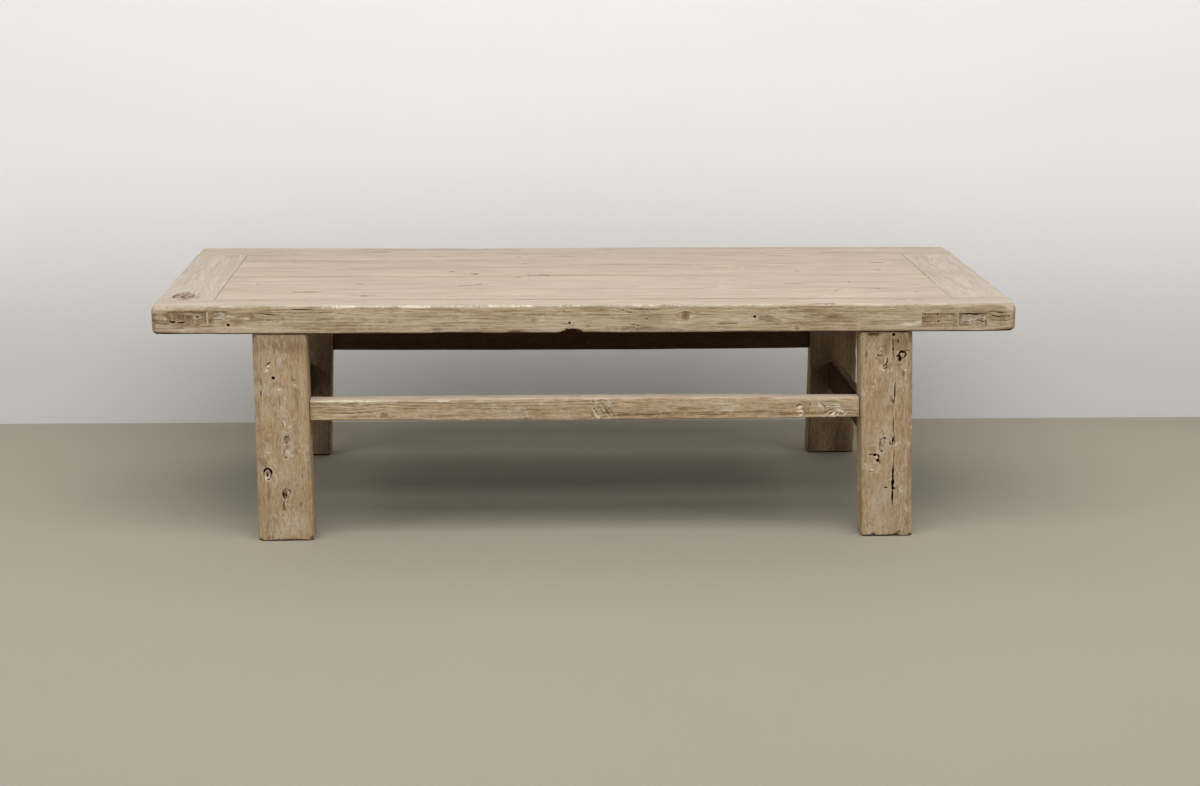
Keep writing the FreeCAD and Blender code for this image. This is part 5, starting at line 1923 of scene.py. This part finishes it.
@dataclass
class Stretchers:
    """The two long stretchers and the two side stretchers."""

    long_arris: float = 5.0
    low_arris: float = 3.5
    crown: float = 1.8
    belly: float = 2.0
    side_crown: float = 0.8
    side_waney: float = 10.0
    side_arris: float = 4.0
    side_thickness: float = 24.0
    shoulder_gap: float = 0.2
    drop: float = 2.5

    def build(self) -> None:
        """Make every stretcher."""
        legs = {leg.node: leg for leg in Legs().legs()}
        for name in ("front", "back"):
            self.long_one(name, legs).build()
        for side in ("left", "right"):
            self.side_one(side, legs).build()

    def bulge(self, points: Array, box: Box, along: Array, crown: float) -> Array:
        """How far a bar's upper side rises and its under side sinks, most in the middle of its length."""
        upward = np.where(points[:, 2] > box.centre[2], crown, -self.belly)
        rise = np.clip(np.abs(points[:, 2] - box.centre[2]) / (box.size[2] / 2), 0, 1)
        return upward * MM * (1 - (2 * along - 1) ** 2) * rise

    def long_one(self, name: str, legs: dict[str, Leg]) -> Timber:
        """Front or back stretcher between the shoulders of its legs.

        Args:
            name: Front or back.
            legs: The legs by the names of their nodes.

        Returns:
            The stretcher.
        """
        node = name + "_stretcher"
        whole = node_box(node)
        left, right = legs["leg_%s_left" % name], legs["leg_%s_right" % name]
        drop = self.drop * MM if name == "front" else 0.0
        box = Box.between((left.section(whole.centre[2]).high[0], right.section(whole.centre[2]).low[0]),
                          (whole.low[1], whole.high[1]),
                          (whole.low[2] + self.belly * MM - drop, whole.high[2] - self.crown * MM - drop))

        def shape(points: Array) -> Array:
            """Crown the bar and trim its ends to the leaning legs.

            Args:
                points: Places on the straight block, in metres.

            Returns:
                The moved places.
            """
            moved = points.copy()
            along = (points[:, 0] - box.low[0]) / box.size[0]
            moved[:, 2] += self.bulge(points, box, along, self.crown)
            for leg, end, weight in ((left, 1, 1 - along), (right, 0, along)):
                slope = (leg.section(0.3), leg.section(0.1))
                face = [s.high[0] if end else s.low[0] for s in slope]
                shift = (points[:, 2] - box.centre[2]) * (face[0] - face[1]) / 0.2
                moved[:, 0] += shift * smooth((weight - 0.9) / 0.1)
            moved[:, 0] += self.shoulder_gap * MM * (1 - 2 * along)
            return moved

        way, face, inner, marks = 1, Face.BACK, Face.FRONT, []
        if name == "front":
            way, face, inner, marks = -1, Face.FRONT, Face.BACK, marks_of(FRONT_STRETCHER_MARKS)
        strewn = scatter(71, face, (-450, 222), (450, 250), 0, holes=2, cracks=9, knots=2, dents=10)
        strewn += scatter(73, inner, (-450, 222), (450, 250), 0, holes=2, cracks=6, knots=2, dents=6)
        rounds = {(side, top): self.long_arris if top > 0 else self.low_arris for top in (1, -1) for side in (-1, 1)}

        def old_brown(surface: Surface) -> Array:
            """Old skin on the inner face and underneath."""
            inner_face = smooth((-way * surface.normals[:, 1] - 0.4) / 0.4)
            return np.maximum(inner_face, 0.6 * smooth((-surface.normals[:, 2] - 0.5) / 0.4))

        def lit(surface: Surface) -> Array:
            """Scrubbed upper face."""
            return 0.7 * smooth((surface.normals[:, 2] - 0.5) / 0.4)

        return Timber(node + "_timber", (node,), "stretcher_elm", "weathered_stretcher", box, 0, 151 + way, post=0,
                      steps=(2.6, 2.2, 1.8), triangles=140000 if name == "front" else 70000,
                      corner_rounds=rounds, wave=1.0, relief=0.3, seam_round=0.01,
                      heart=(0, 22 * -way, -30), marks=marks, strewn=strewn, shape=shape, old_skin_and_shade=old_brown,
                      scrubbed=lit)

    def side_one(self, name: str, legs: dict[str, Leg]) -> Timber:
        """Left or right stretcher between the shoulders of its legs.

        Args:
            name: Left or right.
            legs: The legs by the names of their nodes.

        Returns:
            The stretcher.
        """
        node = name + "_stretcher"
        whole = node_box(node)
        front, back = legs["leg_front_" + name], legs["leg_back_" + name]
        level = whole.centre[2]
        start, stop = front.section(level), back.section(level)
        half = self.side_thickness / 2 * MM
        middle = (start.centre[0] + stop.centre[0]) / 2
        box = Box.between((middle - half, middle + half), (start.high[1], stop.low[1]),
                          (whole.low[2] + self.belly * MM, whole.high[2] - self.side_crown * MM))
        side = -1 if name == "left" else 1

        def shape(points: Array) -> Array:
            """Skew the bar from leg to leg and belly it a little.

            Args:
                points: Places on the straight block, in metres.

            Returns:
                The moved places.
            """
            moved = points.copy()
            along = (points[:, 1] - box.low[1]) / box.size[1]
            centre = start.centre[0] + (stop.centre[0] - start.centre[0]) * along
            moved[:, 0] += centre - middle
            moved[:, 2] += self.bulge(points, box, along, self.side_crown)
            moved[:, 1] += self.shoulder_gap * MM * (1 - 2 * along)
            return moved

        out, inner = (Face.LEFT, Face.RIGHT) if side < 0 else (Face.RIGHT, Face.LEFT)
        strewn = scatter(81 + side, out, (-235, 148), (235, 186), 1, holes=2, cracks=6, knots=2, dents=6)
        strewn += scatter(84 + side, inner, (-235, 148), (235, 186), 1, holes=2, cracks=5, knots=1, dents=5)
        rounds = {(-side, 1): self.side_waney, (side, 1): self.side_arris, (1, -1): self.side_arris,
                  (-1, -1): self.side_arris}

        def old_brown(surface: Surface) -> Array:
            """Old skin on the inner face, the bark edge and underneath."""
            inner_face = smooth((-side * surface.normals[:, 0] - 0.1) / 0.4)
            return np.maximum(inner_face, 0.7 * smooth((np.abs(surface.normals[:, 2]) - 0.5) / 0.4))

        return Timber(node + "_timber", (node,), "stretcher_elm", "weathered_stretcher", box, 1, 156 + side, post=1,
                      steps=(2.4, 4.0, 2.6), corner_rounds=rounds, wave=1.0, relief=0.3, seam_round=0.01,
                      heart=(-20 * side, 0, -35), strewn=strewn, shape=shape, old_skin_and_shade=old_brown)


@dataclass
class Studio:
    """Floor, backdrop, lamps and camera."""

    lens: float = 61.6
    camera_place: Triple = (-0.1382, -3.7945, 1.0892)
    pitch_down: float = 0.2323
    yaw_right: float = 0.0458
    roll: float = 0.0053
    wall_line: float = 0.545
    wall_height: float = 3.2
    reach: float = 9.0
    sensor_width: float = 36.0
    world_strength: float = 0.2
    wall_lift: float = 0.16

    def build(self) -> None:
        """Make everything that isn't part of the table."""
        self.floor()
        self.backdrop()
        self.world()
        self.lamps()
        self.camera()

    def plain(self, name: str, colour: Colour, roughness: float, see_through: bool) -> bpy.types.Material:
        """Plain matt material for the floor or the backdrop, which may be clear from behind.

        Args:
            name: Name of what is made.
            colour: Colour of the surface.
            roughness: How matt it is.
            see_through: Whether it is clear from behind.

        Returns:
            The material.
        """
        g = Graph(bpy.data.materials.new(name))
        shader = g.node("ShaderNodeBsdfPrincipled")
        shader.inputs["Roughness"].default_value = roughness
        shader.inputs["Specular IOR Level"].default_value = MATT_SPECULAR
        coordinate = g.node("ShaderNodeTexCoord").outputs["Object"]
        cloud = g.noise(coordinate, 1.6, 1.6, 4.0, 0.6)
        g.plug(shader.inputs["Base Color"], g.mix(cloud, colour, tuple(0.94 * c for c in colour[:3]) + (1.0,)))
        surface = shader.outputs[0]
        if see_through:
            behind = g.node("ShaderNodeNewGeometry").outputs["Backfacing"]
            clear = g.node("ShaderNodeBsdfTransparent").outputs[0]
            surface = g.node("ShaderNodeMixShader", behind, self.lifted(g, surface, coordinate), clear).outputs[0]
        g.node("ShaderNodeOutputMaterial", surface)
        return g.owner

    def lifted(self, g: Graph, surface: Socket, coordinate: Socket) -> Socket:
        """Brighten the upper part of the backdrop for the camera alone.

        Args:
            g: The nodes to add to.
            surface: Shader of the backdrop.
            coordinate: Place in the object.

        Returns:
            The brighter shader.
        """
        height = g.node("ShaderNodeSeparateXYZ", coordinate).outputs["Z"]
        seen = g.node("ShaderNodeLightPath").outputs["Is Camera Ray"]
        glow = g.node("ShaderNodeEmission")
        g.plug(glow.inputs["Strength"], g.times(g.step(height, 0.1, 0.6), self.wall_lift, seen))
        return g.node("ShaderNodeAddShader", surface, glow.outputs[0]).outputs[0]

    def sheet(self, name: str, matrix: Matrix, width: float, height: float, material: bpy.types.Material) -> None:
        """Flat sheet of the stage.

        Args:
            name: Name of what is made.
            matrix: Where the sheet lies.
            width: Its width, in metres.
            height: Its height, in metres.
            material: Its material.
        """
        bm = bmesh.new()
        bmesh.ops.create_grid(bm, x_segments=2, y_segments=2, size=0.5)
        bmesh.ops.scale(bm, vec=(width, height, 1.0), verts=bm.verts)
        bmesh.ops.transform(bm, matrix=matrix, verts=bm.verts)
        mesh = bpy.data.meshes.new(name)
        bm.to_mesh(mesh)
        bm.free()
        sheet = bpy.data.objects.new(name, mesh)
        bpy.context.scene.collection.objects.link(sheet)
        mesh.materials.append(material)

    def floor(self) -> None:
        """Plain pale floor."""
        material = self.plain("floor_plain", srgb(176, 168, 152), 0.6, False)
        self.sheet("floor", Matrix.Translation((0.0, 0.0, 0.0)), 2 * self.reach, 2 * self.reach, material)

    def backdrop(self) -> None:
        """Near-white backdrop close behind the table, clear from behind."""
        material = self.plain("backdrop_plain", srgb(236, 236, 236), 0.9, True)
        turn = Matrix.Rotation(math.radians(90.0), 4, "X")
        place = Matrix.Translation((0.0, self.wall_line, self.wall_height / 2))
        self.sheet("backdrop", place @ turn, 2 * self.reach, self.wall_height, material)

    def world(self) -> None:
        """Soft light from all round, and white where the camera sees past the stage."""
        g = Graph(bpy.data.worlds.new("studio"))
        bpy.context.scene.world = g.owner
        seen = g.node("ShaderNodeLightPath").outputs["Is Camera Ray"]
        soft = g.node("ShaderNodeBackground", (1.0, 1.0, 1.0, 1.0), self.world_strength).outputs[0]
        white = g.node("ShaderNodeBackground", srgb(233, 233, 233), 1.0).outputs[0]
        g.node("ShaderNodeOutputWorld", g.node("ShaderNodeMixShader", seen, soft, white).outputs[0])

    def lamps(self) -> None:
        """Two soft boxes in front to the left and right, and one overhead."""
        self.lamp("soft_left", (-2.9, -1.3, 1.7), (-0.2, 0.0, 0.2), (1.6, 1.6), 20.0)
        self.lamp("soft_right", (3.0, -1.2, 1.7), (0.2, 0.0, 0.2), (1.6, 1.6), 20.0)
        self.lamp("soft_above", (0.0, -1.5, 2.8), (0.0, 0.0, 0.3), (3.4, 1.7), 66.0)

    def lamp(self, name: str, place: Triple, target: Triple, size: Pair, power: float) -> None:
        """Rectangular soft lamp that looks at a target.

        Args:
            name: Name of the lamp.
            place: Where it hangs.
            target: Where it points.
            size: Its width and height.
            power: Its power in watts.
        """
        data = bpy.data.lights.new(name, "AREA")
        data.shape, data.size, data.size_y, data.energy = "RECTANGLE", size[0], size[1], power
        lamp = bpy.data.objects.new(name, data)
        bpy.context.scene.collection.objects.link(lamp)
        aim = Vector(target) - Vector(place)
        lamp.matrix_world = Matrix.Translation(place) @ aim.to_track_quat("-Z", "Y").to_matrix().to_4x4()

    def camera(self) -> None:
        """Camera at the angle and distance of the photograph."""
        data = bpy.data.cameras.new("view")
        data.lens, data.sensor_width, data.sensor_fit = self.lens, self.sensor_width, "HORIZONTAL"
        camera = bpy.data.objects.new("view", data)
        bpy.context.scene.collection.objects.link(camera)
        forward = Vector((math.sin(self.yaw_right) * math.cos(self.pitch_down),
                          math.cos(self.yaw_right) * math.cos(self.pitch_down), -math.sin(self.pitch_down)))
        level = Vector((math.cos(self.yaw_right), -math.sin(self.yaw_right), 0.0))
        upright = level.cross(forward)
        right = math.cos(self.roll) * level + math.sin(self.roll) * upright
        up = math.cos(self.roll) * upright - math.sin(self.roll) * level
        turn = Matrix((right, up, -forward)).transposed().to_4x4()
        camera.matrix_world = Matrix.Translation(self.camera_place) @ turn
        bpy.context.scene.camera = camera


def main() -> None:
    """Build the table's looks and its studio."""
    logging.basicConfig(level=logging.INFO, format="%(name)s: %(message)s")
    for finish in (TOP_ELM, END_RAIL_ELM, PANEL_ELM, LEG_ELM, RAIL_ELM, BATTEN_ELM, END_ELM, GREY_END_ELM, WEDGE_ELM):
        finish.make()
    for assembly in (TopFrame(), Panel(), Battens(), Legs(), Stretchers(), Studio()):
        assembly.build()
    bpy.context.scene.view_settings.view_transform = "Standard"


if __name__ == "__main__":
    main()
